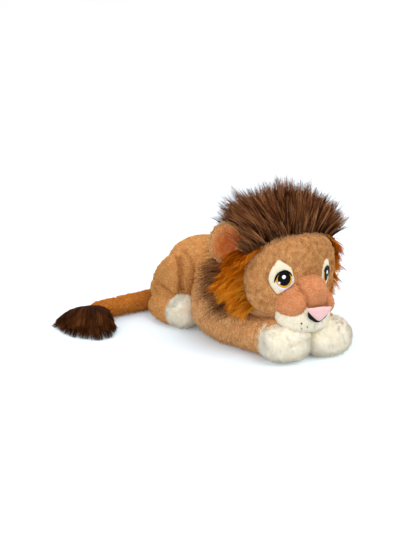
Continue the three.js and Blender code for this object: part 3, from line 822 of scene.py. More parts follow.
def makeHindLeg(name, side):
    thigh = hindLeg["thigh"]
    x, y, z = thigh["place"]
    tilt = Matrix.Rotation(math.radians(thigh["tilt"]), 3, "X")
    bm = bmesh.new()
    superBall(bm, thigh["size"], (side * x, y, z), thigh["fullness"], tilt)
    stuffedTube(bm, [(side * row[0], *row[1:]) for row in hindLeg["shank"]])
    leg = softened("hindLeg_" + name, bm, voxel=2, rounds=3)
    settings, keep = parted(hindLeg["pile"], pressed(leg, hindLeg["folds"], side))
    lumpy(leg, **hindLeg["lumps"])
    laidFlat(leg)
    bends = bendAt(hindLeg, "hind_leg_", name, side)
    nodes = ["hind_leg_" + name, "hind_leg_filling_" + name]
    finished(leg, cloths["tan"], bends, "tan_plush", nodes)
    fur = pile("hindLegPile_" + name, leg, settings, keep, side)
    finished(fur, piles["tan"], bends, "tan_plush")
    makeFoot(name, side, hindLeg["foot"], hindLeg["ball"])


tail = {
    "stations": [
        (0, 67, 14.5, 0, 0),
        (-3.1, 76, 14.5, 13, 13),
        (-25.1, 85.4, 14.5, 13.9, 13),
        (-62.8, 88.6, 14.5, 13, 13),
        (-109.9, 87.8, 14.5, 12.1, 12.1),
        (-146, 86.6, 14.5, 11.2, 11.2),
        (-157, 86, 14.5, 0, 0),
    ],
    "lumps": {"height": 1.0, "size": 20, "seed": 15},
    "pile": {
        "seed": 61, "count": 10500, "length": 3.6, "thick": 0.66, "lean": 52, "loose": 0.2,
        "brushed": (-1, 0, -0.3), "heather": 8, "mottle": 0.4, "vary": 0.15,
    },
    "hinge": ((0, 0.062, 0.015), (-0.04, 0.085, 0.015)),
    "bareBelow": 0.002,
    "pileEnd": -0.16,  # the tuft's hair begins here
}


def makeTail():
    bm = bmesh.new()
    stuffedTube(bm, tail["stations"])
    skin = softened("tail", bm, voxel=1.8, rounds=3)
    lumpy(skin, **tail["lumps"])
    laidFlat(skin)
    bends = ("torso", "tail", *tail["hinge"])
    finished(skin, cloths["tail"], bends, "tail_plush", ["tail_skin", "tail_filling"])
    keep = lambda p, n: (p[:, 2] > tail["bareBelow"]) & (p[:, 0] > tail["pileEnd"])
    fur = pile("tailPile", skin, tail["pile"], keep)
    finished(fur, piles["tail"], bends, "tail_plush")


makeBody()
for name, side in rightLeft.items():
    makeFrontLeg(name, side)
    makeHindLeg(name, side)
makeTail()
print("body, legs and tail are made")


# head: made upright, then leaned

def leaned(piece):
    piece.data.transform(headLean)
    piece.data.update()
    return piece


head = {
    "size": (141, 96, 132), "place": (0, -134, 106), "fullness": 2.4,
    # the face falls back by wedge at its half width; the fall begins at front and is whole after ease
    "wedge": 8, "halfWidth": 69, "front": -0.134, "ease": 0.05,
    # where the hair begins above the forehead: its height in the middle, and how it bends down outwards
    "crestLine": (156, 0.0044),
    # the seam that holds the mane: furthest back at its height, and bent forwards above and below
    "maneSeam": {"height": 98, "y": -143, "bend": 0.008},
    "pileLow": 0.042,
    "eyeHollow": {"depth": 5, "rise": 106, "height": 26, "inner": (8, 42), "outer": (44, 60)},
    # each seam's line, depth and width
    "seams": {
        "cheek": ([
            (-60.6, -156, 139), (-67.8, -150, 123), (-70.2, -145, 108), (-69.3, -144, 90),
            (-63.8, -143, 71), (-53.8, -153, 60), (-37.5, -162, 53),
        ], 3.0, 3.2),
        "crest": ([
            (-60.6, -156, 139), (-50.4, -163, 146), (-41.4, -166, 152), (-30, -169, 155), (-15, -172, 156),
            (0, -173, 156),
        ], 2.2, 3.2),
        "dart": ([(-60.6, -156, 139), (-54.4, -164, 139), (-48, -171, 135), (-41.7, -176, 129)], 1.6, 2.4),
        "socket": ([
            (-42, -176, 128), (-53, -171, 109), (-41, -176, 86), (-22, -182, 98), (-25, -182, 118),
            (-42, -176, 128),
        ], 1.4, 3.0),
    },
    "lumps": {"height": 1.2, "size": 26, "seed": 17},
    "pile": {
        **facePile, "seed": 71, "count": 22500, "length": 2.9, "thick": 0.54, "lean": 48, "loose": 0.26,
        "brushed": (0, 0.3, -1), "mottle": 0.55, "vary": 0.17,
    },
}


def crestLine(points):
    # how high the hair begins above the forehead, across the head
    height, bend = head["crestLine"]
    return (height - bend * (points[:, 0] / mm) ** 2) * mm


def onFace(points):
    # in front of the seams that hold the mane
    seam = head["maneSeam"]
    away = np.abs(points[:, 2] / mm - seam["height"])
    return (points[:, 1] < (seam["y"] - seam["bend"] * away ** 2) * mm) & (points[:, 2] < crestLine(points))


def eased(value, low, high):
    share = min(max((value - low) / (high - low), 0), 1)
    return share * share * (3 - 2 * share)


def faceFall(place):
    # the sides of the face fall back, and the eyes lie in shallow hollows
    front = min(max((head["front"] - place.y) / head["ease"], 0), 1)
    across, rise = abs(place.x) / mm, place.z / mm
    hollow = head["eyeHollow"]
    deep = math.exp(-((rise - hollow["rise"]) / hollow["height"]) ** 2)
    deep *= eased(across, *hollow["inner"]) * (1 - eased(across, *hollow["outer"]))
    return (head["wedge"] * (across / head["halfWidth"]) ** 2 + hollow["depth"] * deep) * front * mm


def makeHeadSkin():
    bm = bmesh.new()
    superBall(bm, head["size"], head["place"], head["fullness"])
    for v in bm.verts:
        v.co.y += faceFall(v.co)
    skin = softened("head", bm, voxel=1.8, rounds=2)
    lumpy(skin, **head["lumps"])
    for side in rightLeft.values():
        pressed(skin, head["seams"].values(), side)
    return skin


def smoothLoop(points, steps):
    # a closed smooth outline through the points
    table = np.array(points, float)
    found = []
    for i in range(len(table)):
        a, b, c, d = (table[(i + k) % len(table)] for k in (-1, 0, 1, 2))
        for t in np.arange(steps) / steps:
            bend = (c - a) * t + (2 * a - 5 * b + 4 * c - d) * t ** 2
            found.append(b + 0.5 * (bend + (3 * b - a - 3 * c + d) * t ** 3))
    return np.array(found)


def roundLoop(middle, wide, high, steps):
    turns = np.arange(steps) / steps * 2 * math.pi
    return np.column_stack([middle[0] + wide * np.cos(turns), middle[1] + high * np.sin(turns)])


def surfaceOf(*pieces):
    bm = bmesh.new()
    for piece in pieces:
        bm.from_mesh(piece.data)
    tree = BVHTree.FromBMesh(bm)
    bm.free()
    return tree


def onSurface(tree, x, z, lift):
    # the place in front of the face at x and z, lifted off the cloth
    start = Vector((x * mm, -0.3, z * mm))
    place, normal, _, _ = tree.ray_cast(start, Vector((0, 1, 0)))
    if place is None:
        place, normal, _, _ = tree.find_nearest(start)
    if normal.y > 0:
        normal = -normal
    return place + normal * lift * mm


def laidPatch(name, outline, tree, lift, sink, rings=14, fullness=5.0, level=0.0):
    # a patch with a rounded edge, cut to an outline in x and z and laid on the face
    outline = np.array(outline, float)
    middle = outline.mean(axis=0)
    corners = len(outline)
    bm = bmesh.new()
    made = bmesh.ops.create_uvsphere(bm, u_segments=corners, v_segments=rings * 2, radius=1)["verts"]
    for v in made:
        share = math.hypot(v.co.x, v.co.y)
        turn = math.atan2(v.co.y, v.co.x) / (2 * math.pi) * corners
        low = int(math.floor(turn + 1e-6))
        part = turn - low
        edge = outline[low % corners] * (1 - part) + outline[(low + 1) % corners] * part
        x, z = middle + (edge - middle) * share
        rise = max(1 - share ** fullness, 0) ** (1 / fullness)
        v.co = onSurface(tree, x, z, level + (lift * rise if v.co.z > 0 else -sink * rise))
    bmesh.ops.remove_doubles(bm, verts=bm.verts[:], dist=1e-6)
    bmesh.ops.recalc_face_normals(bm, faces=bm.faces[:])
    return smooth(newObject(name, bm))


def laidThread(name, line, tree, lift, thick=0.45):
    # a flat satin-stitched line on the face: x, z and half width
    table = np.array(line, float)
    bm = bmesh.new()
    made = bmesh.ops.create_uvsphere(bm, u_segments=10, v_segments=48, radius=1)["verts"]
    for v in made:
        share = (1 - v.co.z) / 2
        x, z, half = alongLine(table, share)
        ahead = alongLine(table, share + 0.002) - alongLine(table, share - 0.002)
        way = Vector((ahead[0], ahead[1])).normalized()
        ring = math.hypot(v.co.x, v.co.y)
        part = (v.co.x / ring, v.co.y / ring) if ring > 1e-6 else (0, 0)
        full = min(ring * 3, 1)
        x += -way.y * part[0] * half * full
        z += way.x * part[0] * half * full
        v.co = onSurface(tree, x, z, lift + part[1] * thick * full)
    bmesh.ops.recalc_face_normals(bm, faces=bm.faces[:])
    return smooth(newObject(name, bm))


muzzle = {
    "narrow": 0.9, "widen": 0.004, "tip": -206,
    "least": 0.8, "most": 1.25,
    "lobe": {"size": (37, 45, 25), "place": (23.5, -181.5, 76.5), "fullness": 2.2, "droop": 54},
    "bridge": {"size": (41, 46, 45), "place": (0.5, -183, 85.5), "fullness": 3.0},
    "front": {"size": (66, 52, 64), "place": (0, -181.5, 68), "fullness": 3.0},
    # lines with their depth and width
    "crease": ([
        (18, -172, 104), (18.5, -183, 98.5), (19, -189, 93.5), (18.5, -194, 88.5), (17, -198, 82.5),
        (14.2, -200.5, 75.4), (14, -203, 70),
    ], 3.6, 2.2),
    "lip": {"size": (70, 52, 41), "place": (0.5, -180, 57), "fullness": 2.5},
    "cleft": ([(0, -207, 58), (0, -208, 50), (0, -203, 43), (0, -196, 39)], 3.4, 2.2),
    "pileFront": -0.168, "lipPileFront": -0.158,
    "pile": {
        **facePile, "seed": 81, "count": 9000, "length": 2.6, "thick": 0.42, "lean": 50, "loose": 0.26,
        "brushed": (0, 1, -0.2), "mottle": 0.4, "vary": 0.15,
    },
    "lipPile": {
        **facePile, "seed": 91, "count": 6500, "length": 2.2, "thick": 0.42, "lean": 48, "loose": 0.28,
        "brushed": (0, 1, -0.8), "mottle": 0.3,
    },
}


def tapered(bm):
    # the muzzle is narrower in front than where it meets the cheeks
    for v in bm.verts:
        share = muzzle["narrow"] + muzzle["widen"] * (v.co.y / mm - muzzle["tip"])
        v.co.x *= min(max(share, muzzle["least"]), muzzle["most"])


def lobesAndBridge(bm):
    lobe = muzzle["lobe"]
    x, y, z = lobe["place"]
    for side in rightLeft.values():
        droop = Matrix.Rotation(math.radians(side * lobe["droop"]), 3, "Y")
        superBall(bm, lobe["size"], (side * x, y, z), lobe["fullness"], droop)
    superBall(bm, **muzzle["bridge"])


def noseBed():
    # the smooth front of the muzzle, which the nose and its felt are shaped on
    bm = bmesh.new()
    superBall(bm, **muzzle["front"])
    bed = newObject("noseBed", bm)
    tree = surfaceOf(bed)
    bpy.data.objects.remove(bed)
    return tree


def makeMuzzle():
    bm = bmesh.new()
    lobesAndBridge(bm)
    tapered(bm)
    top = softened("muzzleTop", bm, voxel=1.4, rounds=5)
    for side in (1, -1):
        pressed(top, [muzzle["crease"]], side)
    bm = bmesh.new()
    superBall(bm, **muzzle["lip"])
    tapered(bm)
    lip = softened("muzzleLip", bm, voxel=1.4, rounds=2)
    pressed(lip, [muzzle["cleft"]], -1)
    return top, lip


nose = {
    "outline": [
        (-19.2, 74.4), (-10, 75.2), (0, 75.5), (10, 74.6), (18.6, 73),
        (14.8, 67.6), (7.6, 61.8), (0, 57.8), (-7.6, 61.8), (-15, 68.2),
    ],
    "felt": [
        (-14.6, 71), (-8, 73), (0, 73), (8, 73), (15.4, 70.6),
        (14.6, 65), (8.4, 59.4), (0, 55.6), (-8.6, 57.8), (-14.6, 62.8),
    ],
    "lift": 2.6, "feltLift": 2.4, "dotLift": 2.4,
    "dots": [(-21, 54.5, 0.85), (-13.5, 50, 0.5), (-19, 47.5, 0.4)],
}

eye = {
    "patch": [
        (-39.4, 128), (-44.3, 121), (-47.8, 113), (-48.5, 104), (-46, 96.6), (-41.8, 90), (-37.6, 85),
        (-33.8, 86.5), (-28.4, 91.4), (-21.9, 96), (-18.8, 101), (-21.4, 110.3), (-24.2, 118.4), (-32.9, 124.5),
    ],
    "patchLift": 2.6,
    # the left eye sits a little farther out and is narrower, as on the sewn toy
    "farther": 1.6,
    "farPatch": [
        (-37, 122.5), (-40.5, 116), (-42.6, 108), (-42.8, 100), (-40.4, 93), (-36.4, 87.5), (-33.2, 85.5),
        (-29.4, 89), (-26, 94.5), (-24.8, 101), (-25.4, 109), (-27, 116.5), (-29.6, 121.5), (-33, 124),
    ],
    "middle": -33.5,
    "farWidth": 0.68,
    "white": ((-32.2, 101.2), 9.6, 10.9),
    "iris": ((-33.2, 104), 9.2, 10.1),
    "pupil": ((-33.4, 105.4), 7.4, 9.1),
    "glint": ((-34, 107.7), 2.25, 2.65),
    "spark": ((-38.5, 100.1), 1.25, 1.5),
    # how far each part stands off the patch, and the corners of its outline
    "parts": {"white": (0.5, 48), "iris": (0.9, 48), "pupil": (1.3, 48), "glint": (1.7, 24), "spark": (1.7, 24)},
    "lidLift": 1.1,
    "lid": [
        (-43.6, 99.8, 0.3), (-42.9, 105.1, 1.0), (-40.7, 111.2, 1.2), (-35.9, 114.6, 1.3),
        (-31.9, 114.9, 1.3), (-27.6, 112.7, 1.1), (-24.3, 108.6, 0.35),
    ],
}


def eyePieces(name, side, skin):
    offset, width, edge = (eye["farther"], eye["farWidth"], "farPatch") if side > 0 else (0, 1, "patch")

    def across(x):
        # narrowed about the eye's middle, and on its own side of the face
        return -side * (eye["middle"] + (x - eye["middle"]) * width) + offset

    outline = [(-side * x + offset, z) for x, z in smoothLoop(eye[edge], 4)]
    patch = laidPatch("eyePatch_" + name, outline, surfaceOf(skin), eye["patchLift"], sink=1.5, fullness=3.5)
    onPatch = surfaceOf(skin, patch)
    made = []
    for part, (lift, steps) in eye["parts"].items():
        (x, z), wide, high = eye[part]
        outline = roundLoop((across(x), z), wide * width, high, steps)
        made.append((part, laidPatch(f"eye{part.capitalize()}_{name}", outline, onPatch, lift, sink=0.6, rings=8)))
    line = [(across(x), z, half) for x, z, half in eye["lid"]]
    made.append(("lid", laidThread("eyeLid_" + name, line, onPatch, eye["lidLift"])))
    return patch, made


def outOf(tree, margin):
    # keeps pile off what lies on the cloth
    def clear(points, normals):
        found = np.empty(len(points))
        for i, p in enumerate(points):
            place, normal, _, away = tree.find_nearest(Vector(p))
            inside = (Vector(p) - place).dot(normal) < 0
            found[i] = 0 if inside or away < margin * mm else 1
        return found
    return clear


# ears: a dish of tan plush with a peach lining, folded at its foot

def earFoldShade(points):
    # painted shade: the lining is darker in the fold at its foot, and towards its foot
    x, z = np.abs(points[:, 0]), points[:, 2]
    fold, foot = ear["fold"], ear["foot"]
    inFold = np.exp(-(((x - fold["x"]) / fold["wide"]) ** 2 + ((z - fold["z"]) / fold["high"]) ** 2))
    inFoot = np.clip((foot["z"] - z) / foot["over"], 0, 1)
    return ear["lighter"] - fold["paintedShade"] * inFold - foot["paintedShade"] * inFoot


ear = {
    "size": (46, 15, 53), "fullness": 2.2, "dish": 13, "curl": 0.012,
    "base": (66, -115, 121), "facing": 38, "splay": 24, "rise": 17.3,
    "lining": 0.92, "liningLift": 0.8,
    # how full the dish is, how sharp its rim, how much it narrows to its foot, how far the lining sinks in
    "dishFullness": 2.4, "rim": 6, "narrow": 0.16, "liningSink": 0.3,
    "lighter": 0.25,
    # painted shade in the fold and towards the foot: its place, its reach and its strength
    "fold": {"x": 0.059, "z": 0.147, "wide": 0.016, "high": 0.015, "paintedShade": 0.8},
    "foot": {"z": 0.152, "over": 0.025, "paintedShade": 0.45},
    "pile": {
        **facePile, "seed": 101, "count": 7000, "length": 3.4, "thick": 0.56, "lean": 35, "loose": 0.28,
        "brushed": (0, 0.4, 1), "mottle": 0.4, "vary": 0.15,
    },
    "liningPile": {
        **facePile, "seed": 111, "count": 5000, "length": 2.8, "thick": 0.45, "lean": 50, "loose": 0.25,
        "brushed": (0, 0, 1), "heather": 8, "mottle": 0.3, "tintBy": earFoldShade,
    },
}


def earPlace(side):
    base = Matrix.Translation(Vector((side * ear["base"][0], *ear["base"][1:])) * mm)
    turn = Matrix.Rotation(math.radians(side * ear["facing"]), 4, "Z")
    lean = Matrix.Rotation(math.radians(side * ear["splay"]), 4, "Y")
    return base @ turn @ lean @ Matrix.Translation((0, 0, ear["rise"] * mm))


def earForm(name, scale, lift):
    # scale shrinks the dish's outline, and a lift keeps only a skin of its hollow side
    bm = bmesh.new()
    halfWide, halfHigh = ear["size"][0] / 2 * mm, ear["size"][2] / 2 * mm
    for v in superBall(bm, ear["size"], (0, 0, 0), ear["fullness"]):
        out = min(math.hypot(v.co.x / halfWide, v.co.z / halfHigh), 1)
        front = v.co.y < 0
        if front or lift:
            depth = ear["dish"] * mm * (1 - out ** ear["dishFullness"])
            off = (lift if front else -ear["liningSink"]) * mm
            v.co.y = (v.co.y if front else -v.co.y) + depth - off * (1 - out ** ear["rim"])
        v.co.x *= scale * (1 - ear["narrow"] * max(-v.co.z / halfHigh, 0) ** 2)
        v.co.z *= scale
        v.co.y -= ear["curl"] * (v.co.x / mm) ** 2 * mm
    bmesh.ops.recalc_face_normals(bm, faces=bm.faces[:])
    return newObject(name, bm)


def makeEar(name, side):
    place = headLean @ earPlace(side)
    back = earForm("earBack_" + name, 1.0, 0)
    lining = earForm("earLining_" + name, ear["lining"], ear["liningLift"])
    for piece in (back, lining):
        piece.data.transform(place)
        piece.data.update()
        smooth(piece)
    carrier = "ear_" + name
    fur = pile("earPile_" + name, back, ear["pile"], outOf(surfaceOf(lining), 0.5), side)
    finished(fur, piles["earBack"], carrier, "tan_plush")
    front = np.array(place.to_3x3() @ Vector((0, -1, 0)))
    fur = pile("earLiningPile_" + name, lining, ear["liningPile"], lambda p, n: n @ front > 0.1, side)
    finished(fur, piles["ear"], carrier, "peach_plush")
    finished(back, cloths["tan"], carrier, "tan_plush", ["ear_back_" + name])
    finished(lining, cloths["peach"], carrier, "peach_plush", ["ear_lining_" + name])


# hair: long locks that bend from their roots and draw together at their tips

def pushedOut(points, forms):
    # keeps strands outside the solids they lie on
    for place, size, fullness in forms:
        middle, half = np.array(place) * mm, np.array(size) * mm / 2
        away = (points - middle) / half
        reach = (np.abs(away) ** fullness).sum(-1, keepdims=True) ** (1 / fullness)
        points = np.where(reach < 1, middle + (points - middle) / np.maximum(reach, 0.2), points)
    return points


def hair(name, roots, normals, settings, ways, forms, lean=True):
    settings = {**longHair, **settings}
    chance = np.random.default_rng(settings["seed"])
    count = len(roots)
    start, end, share = ways(roots, normals)
    lockCount = settings["locks"]
    guides = chance.choice(count, lockCount, replace=False)
    lock = nearestOf(roots, roots[guides])
    lockTurn = chance.normal(0, settings["lockTurn"], (lockCount, 3))[lock]
    start = unit(start + lockTurn * 0.5 + chance.normal(0, settings["loose"] * 0.5, (count, 3)))
    end = unit(end + lockTurn + chance.normal(0, settings["loose"], (count, 3)))
    length = share * (1 + settings["lockVary"] * chance.normal(0, 1, lockCount).clip(-2, 2)[lock])
    length = length * (1 + settings["vary"] * chance.normal(0, 1, count).clip(-2.5, settings["longest"]))
    t = np.linspace(0, 1, settings["stations"])[None, :, None]
    first = roots - normals * settings["sunk"] * mm
    middle = first + start * length[:, None] * 0.5
    last = middle + end * length[:, None] * 0.5
    paths = (1 - t) ** 2 * first[:, None] + 2 * t * (1 - t) * middle[:, None] + t ** 2 * last[:, None]
    # draw each strand to the middle of its lock, most at the tip
    chosen = guides[lock]
    offset = (roots - roots[chosen])[:, None] * settings["keep"]
    pull = settings["pull"] * t ** 1.4 * (0.75 + 0.25 * chance.random((count, 1, 1)))
    paths = paths + (paths[chosen] + offset - paths) * pull
    # a slow wave that each lock's strands share, begun anywhere in its turn
    swing = unit(np.cross(end, normals + 0.3))[chosen][:, None]
    phase = (chance.random(lockCount) * settings["turn"])[lock][:, None, None]
    paths = paths + swing * np.sin(phase + t * settings["turns"]) * t * settings["wave"] * mm
    # the tips are a little uneven, and the strays' far more
    strays = chance.random(count) < settings["strays"]
    uneven = np.where(strays, *settings["uneven"])[:, None, None]
    paths = paths + chance.normal(0, 1, (count, 1, 3)) * t ** 2 * uneven * mm
    paths = pushedOut(paths, forms)
    tints = 0.5 + settings["streaks"] * chance.normal(0, 1, lockCount)[lock]
    tints = tints + settings["tintVary"] * chance.normal(0, 1, count) + settings["tint"] + settings["tintBy"](roots)
    thick = settings["thick"] * mm / math.sqrt(strandShare) * (0.75 + 0.5 * chance.random(count))
    piece = grown(name, paths, thick, tints, settings["taper"])
    shadedAs(piece, unit(normals + settings["lift"]), settings["even"])
    return leaned(piece) if lean else piece


# what the long locks have in common; the uneven tips are in millimetres, the strays' first
longHair = {
    "longest": 1.5, "streaks": 0.22, "tint": 0, "tintBy": lambda p: 0, "tintVary": 0.16,
    "sunk": 0.5, "turn": 6.28, "uneven": (5.0, 0.8),
}

# the forms that hair lies on: place, size and fullness
headForm = [((0, -134, 106), (140, 98, 134), 2.4)]

crest = {
    "seed": 201, "count": 8600, "thick": 0.38, "stations": 6, "locks": 900, "lockTurn": 0.11, "loose": 0.09,
    "lockVary": 0.15, "vary": 0.2, "longest": 1.0, "pull": 0.72, "keep": 0.22, "wave": 1.6, "turns": 3.0,
    "strays": 0.2, "streaks": 0.3, "lift": (0, -0.6, 0.5), "even": 0.45, "taper": 0.12,
    # it fans out by these degrees to the right and left, over its half width, and ends near an ellipsoid
    "fan": (60, 66), "halfWidth": 54, "reach": ((-2, -127, 146), (98, 60, 67)),
    "front": -168, "depth": 74, "forward": 0.16, "backward": 0.45,
    # locks on either side of the parting lean away from it, and those along it are shorter
    "parting": {"x": -24, "width": 12, "lean": 0.26, "core": 5, "shorter": 0.3},
    # where it grows, in metres; how far below its line it begins: past two places, and between them
    "lowest": 0.122, "behind": -0.098, "earSide": 0.055, "earFront": -0.144,
    "below": {"right": (-0.045, 0.010), "left": (0.04, -0.001), "middle": 0.001},
}


def reachOf(points, way, form):
    # how far each point is from an ellipsoid around it, along its way
    middle, half = np.array(form[0]) * mm, np.array(form[1]) * mm
    p, d = (points - middle) / half, way / half
    a, b, c = (d * d).sum(1), (p * d).sum(1), (p * p).sum(1) - 1
    return (np.sqrt(np.maximum(b * b - a * c, 0)) - b) / a


def crestWays(roots, normals):
    x, y, _ = (roots / mm).T
    back = np.clip((y - crest["front"]) / crest["depth"], 0, 1)
    turn = np.radians(np.clip(x / crest["halfWidth"], -1, 1) * np.where(x < 0, *crest["fan"]))
    forward = crest["backward"] * back - crest["forward"] * (1 - back)
    start = np.column_stack([np.sin(turn * 0.75), forward, np.cos(turn * 0.75)])
    parting = crest["parting"]
    off = x - parting["x"]
    away = np.sign(off) * np.exp(-(off / parting["width"]) ** 2) * parting["lean"]
    end = np.column_stack([np.sin(turn) + away, 0.06 + 0.6 * back, np.cos(turn)])
    start, end = unit(start + normals * 0.15), unit(end)
    share = reachOf(roots, unit(start + end), crest["reach"])
    # longer on the toy's right side
    share = share * (0.97 - 0.1 * np.sin(turn))
    return start, end, share * (1 - parting["shorter"] * np.exp(-(off / parting["core"]) ** 2))


def rootsOf(skin, settings, chance, keep):
    # the roots of both sides are drawn at once, then told apart
    roots, normals = scattered(skin, int(settings["count"] * strandShare), chance, keep)
    for name, side in rightLeft.items():
        mine = roots[:, 0] * side > 0
        yield name, roots[mine], normals[mine]


def makeCrest(skin):
    chance = np.random.default_rng(crest["seed"])

    def grows(p, n):
        x, y, z = p.T
        (right, farRight), (left, farLeft) = crest["below"]["right"], crest["below"]["left"]
        below = np.select([x < right, x > left], [farRight, farLeft], crest["below"]["middle"])
        byEar = (np.abs(x) > crest["earSide"]) & (y > crest["earFront"])
        high = (z > crestLine(p) - below) & (z > crest["lowest"])
        return high & (y < crest["behind"]) & ~byEar & ~onFace(p)

    for name, roots, normals in rootsOf(skin, crest, chance, grows):
        fur = hair("crest_" + name, roots, normals, crest, crestWays, headForm)
        finished(fur, piles["brown"], "head", "brown_pile", ["mane_crest"])


sideMane = {
    "seed": 211, "count": 8400, "thick": 0.37, "stations": 5, "locks": 330, "lockTurn": 0.18, "loose": 0.10,
    "lockVary": 0.12, "vary": 0.16, "pull": 0.62, "keep": 0.35, "wave": 2.6, "turns": 4.5, "strays": 0.05,
    "lift": (0, 0, 0.3), "even": 0.5, "taper": 0.12, "length": 28, "leftLonger": 1.06,
    # the locks sweep out most at the height of the eyes
    "low": 72, "tall": 50, "sweepAt": 92, "sweepOver": 13,
    # where it grows, in metres: a place, and the limit before it and past it
    "under": (0.04, -0.004, 0.002), "back": -0.1, "front": (0.108, -0.118, -0.124), "outside": (0.075, 0.052, 0.04),
    "jaw": 0.052,
    # lighter below than above
    "tintBy": lambda p: 0.22 - 0.45 * np.clip((p[:, 2] - 0.08) / 0.05, 0, 1),
}


def sideWays(roots, normals):
    x, _, z = (roots / mm).T
    side = np.sign(x)
    high = np.clip((z - sideMane["low"]) / sideMane["tall"], 0, 1)
    start = np.column_stack([side, 0.1 + 0.2 * high, np.full(len(x), -0.2)])
    sweep = np.exp(-((z - sideMane["sweepAt"]) / sideMane["sweepOver"]) ** 2)
    end = np.column_stack([side * (0.45 + 0.15 * sweep), 0.1 + 0.35 * sweep, -0.85 + 0.35 * sweep])
    length = sideMane["length"] * mm * np.where(x > 0, sideMane["leftLonger"], 1)
    return unit(start + normals * 0.15), unit(end), length * (0.68 + 0.3 * high + 0.3 * sweep)


ruff = {
    "seed": 221, "count": 7800, "thick": 0.33, "stations": 5, "locks": 420, "lockTurn": 0.16, "loose": 0.2,
    "lockVary": 0.12, "vary": 0.22, "pull": 0.3, "keep": 0.5, "wave": 2.0, "turns": 3.5, "strays": 0.25,
    "lift": (0, 0, 0.5), "even": 0.6, "length": 42, "taper": 0.1, "tint": 0.12,
    "halfWidth": 60, "low": 80, "tall": 70,
    # where it grows, in metres: clear of the ears and the crest
    "front": -0.122, "neck": 0.048, "earSide": 0.05, "earLow": 0.112, "crestLow": 0.13, "crestBack": -0.1,
}


def ruffWays(roots, normals):
    x, _, z = (roots / mm).T
    out = np.clip(x / ruff["halfWidth"], -1, 1)
    high = np.clip((z - ruff["low"]) / ruff["tall"], 0, 1)
    start = np.column_stack([out * 0.8, 0.6 + 0.3 * high, 0.25 * high])
    end = np.column_stack([out * 0.5, 0.6 + 0.4 * high, -0.6 + 0.25 * high])
    return unit(start + normals * 0.4), unit(end), np.full(len(x), ruff["length"] * mm)


def goldGrows(p, n):
    # behind the cheeks, from under the crest down to the jaw
    x, y, z = p.T

    def pastOrNot(along, name):
        place, before, past = sideMane[name]
        return np.where(along > place, past, before)

    underCrest = (z < crestLine(p) + pastOrNot(x, "under")) | (y > sideMane["back"])
    front = y < pastOrNot(z, "front")
    outside = np.abs(x) > pastOrNot(z, "outside")
    return ~onFace(p) & underCrest & front & outside & (z > sideMane["jaw"])


def ruffGrows(p, n):
    x, y, z = p.T
    byEar = (np.abs(x) > ruff["earSide"]) & (z > ruff["earLow"])
    offCrest = (z < ruff["crestLow"]) | (y > ruff["crestBack"])
    return (y > ruff["front"]) & ~byEar & offCrest & (z > ruff["neck"])


def makeMane(skin):
    makeCrest(skin)
    chance = np.random.default_rng(sideMane["seed"])
    for name, roots, normals in rootsOf(skin, sideMane, chance, goldGrows):
        fur = hair("sideMane_" + name, roots, normals, sideMane, sideWays, headForm)
        finished(fur, piles["gold"], "head", "gold_pile", ["mane_side_" + name])
    for name, roots, normals in rootsOf(skin, ruff, chance, ruffGrows):
        fur = hair("ruff_" + name, roots, normals, ruff, ruffWays, headForm)
        finished(fur, piles["brown"], "head", "brown_pile", ["mane_ruff"])


# tail tuft: a core that the long hair grows from

tuft = {
    "stations": [
        (-144, 85, 16, 0, 0), (-148, 80, 14, 16, 13), (-160, 73, 10, 26, 20), (-175, 68, 7, 27, 16),
        (-190, 68, 4, 0, 0),
    ],
    # the strands fan out from the end of the tail to a rim on the floor
    "from": (-148, 92), "reach": ((-172, 72, 0), (36, 56, 34)),
    "over": [((-167, 72, 2), (46, 56, 46), 2.2)],
    "shortest": 6, "farthest": 56, "past": 1.05,
    "bareBelow": 0.006, "floorGap": 0.4,
    "hair": {
        "seed": 231, "count": 4600, "thick": 0.44, "stations": 6, "locks": 130, "lockTurn": 0.04, "loose": 0.04,
        "lockVary": 0.05, "vary": 0.08, "pull": 0.5, "keep": 0.45, "wave": 0.5, "turns": 2.5, "strays": 0.03,
        "lift": (0, 0, 0.4), "even": 0.4, "taper": 0.15,
    },
}


def tuftWays(roots, normals):
    out = np.column_stack([roots[:, :2] - np.array(tuft["from"]) * mm, np.zeros(len(roots))])
    way = unit(out + np.array([-1, -2, 0]) * mm)
    start = unit(way * 0.9 + normals * 0.3)
    end = unit(way * 0.75 - np.array([0, 0, 0.65]))
    reach = reachOf(roots, unit(start + end), tuft["reach"]) * tuft["past"]
    return start, end, np.clip(reach, tuft["shortest"] * mm, tuft["farthest"] * mm)


def makeTuft():
    bm = bmesh.new()
    stuffedTube(bm, tuft["stations"])
    core = softened("tuftCore", bm, voxel=1.8, rounds=3)
    laidFlat(core)
    settings = tuft["hair"]
    chance = np.random.default_rng(settings["seed"])
    count = int(settings["count"] * strandShare)
    roots, normals = scattered(core, count, chance, lambda p, n: p[:, 2] > tuft["bareBelow"])
    fur = hair("tuftHair", roots, normals, settings, tuftWays, tuft["over"], lean=False)
    laidFlat(fur, tuft["floorGap"])
    finished(fur, piles["tuft"], "tail", "brown_pile", ["tail_tuft"])
    finished(core, cloths["brown"], "tail", "brown_pile")


def makeNeck():
    # the stuffing between the head and the body, inside both
    bm = bmesh.new()
    superBall(bm, (38, 38, 38), neck / mm, 2)
    finished(newObject("neckStuffing", bm), cloths["cream"], "neck", "fibre_filling", ["neck_filling"])


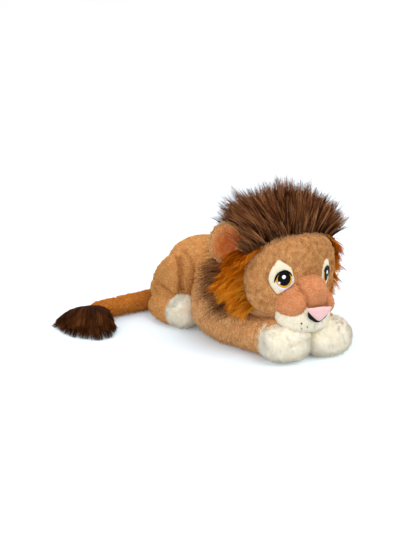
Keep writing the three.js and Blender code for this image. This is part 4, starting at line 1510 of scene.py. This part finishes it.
def makeHead():
    skin = makeHeadSkin()
    top, lip = makeMuzzle()
    eyes = {name: eyePieces(name, side, skin) for name, side in rightLeft.items()}
    patches = [patch for patch, made in eyes.values()]
    front = surfaceOf(top, lip)
    bed = noseBed()
    felt = laidPatch("mouthFelt", smoothLoop(nose["felt"], 4), bed, nose["feltLift"], sink=3.0, fullness=8)
    outline = smoothLoop(nose["outline"], 4)
    pad = laidPatch("nose", outline, bed, nose["lift"], sink=0.8, fullness=2.6, level=nose["feltLift"])
    dots = []
    for i, (x, z, size) in enumerate(nose["dots"]):
        loop = roundLoop((x, z), size, size, 12)
        dots.append(laidPatch(f"whiskerDot_{i}", loop, front, nose["dotLift"], sink=0.5, rings=4))

    # short pile, off whatever lies on it
    offMuzzle = outOf(surfaceOf(top, lip, *patches), 0.6)
    offLip = outOf(surfaceOf(lip, pad, felt), 0.4)
    offTop = outOf(surfaceOf(top, pad, felt), 0.4)
    for name, cloth, settings, look, slot, keep in (
        ("facePile", skin, head["pile"], "face", "face_plush",
         lambda p, n: (onFace(p) & (p[:, 2] > head["pileLow"])) * offMuzzle(p, n)),
        ("muzzlePile", top, muzzle["pile"], "peach", "peach_plush",
         lambda p, n: (p[:, 1] < muzzle["pileFront"]) * offLip(p, n)),
        ("lipPile", lip, muzzle["lipPile"], "cream", "cream_plush",
         lambda p, n: (p[:, 1] < muzzle["lipPileFront"]) * offTop(p, n)),
    ):
        finished(leaned(pile(name, cloth, settings, keep)), piles[look], "head", slot)
    makeMane(skin)

    nodes = ["forehead_panel", "cheek_right", "cheek_left", "head_back", "head_filling"]
    finished(leaned(skin), cloths["face"], "head", "face_plush", nodes)
    finished(leaned(top), cloths["peach"], "head", "peach_plush", ["muzzle_top"])
    finished(leaned(lip), cloths["cream"], "head", "cream_plush", ["muzzle_lip"])
    finished(leaned(pad), threads["nose"], "head", "nose_cloth", ["nose"])
    finished(leaned(felt), threads["black"], "head", "black_felt", ["mouth_felt"])
    for dot in dots:
        finished(leaned(dot), threads["black"], "head", "black_felt")
    for name, (patch, made) in eyes.items():
        finished(leaned(patch), threads["patch"], "head", "cream_plush", ["eye_patch_" + name])
        for part, piece in made:
            nodes = ["eye_" + name] if part == "iris" else []
            finished(leaned(piece), threads[part], "head", "eye_thread", nodes)


makeHead()
for name, side in rightLeft.items():
    makeEar(name, side)
makeTuft()
makeNeck()
print("head, mane and tuft are made")
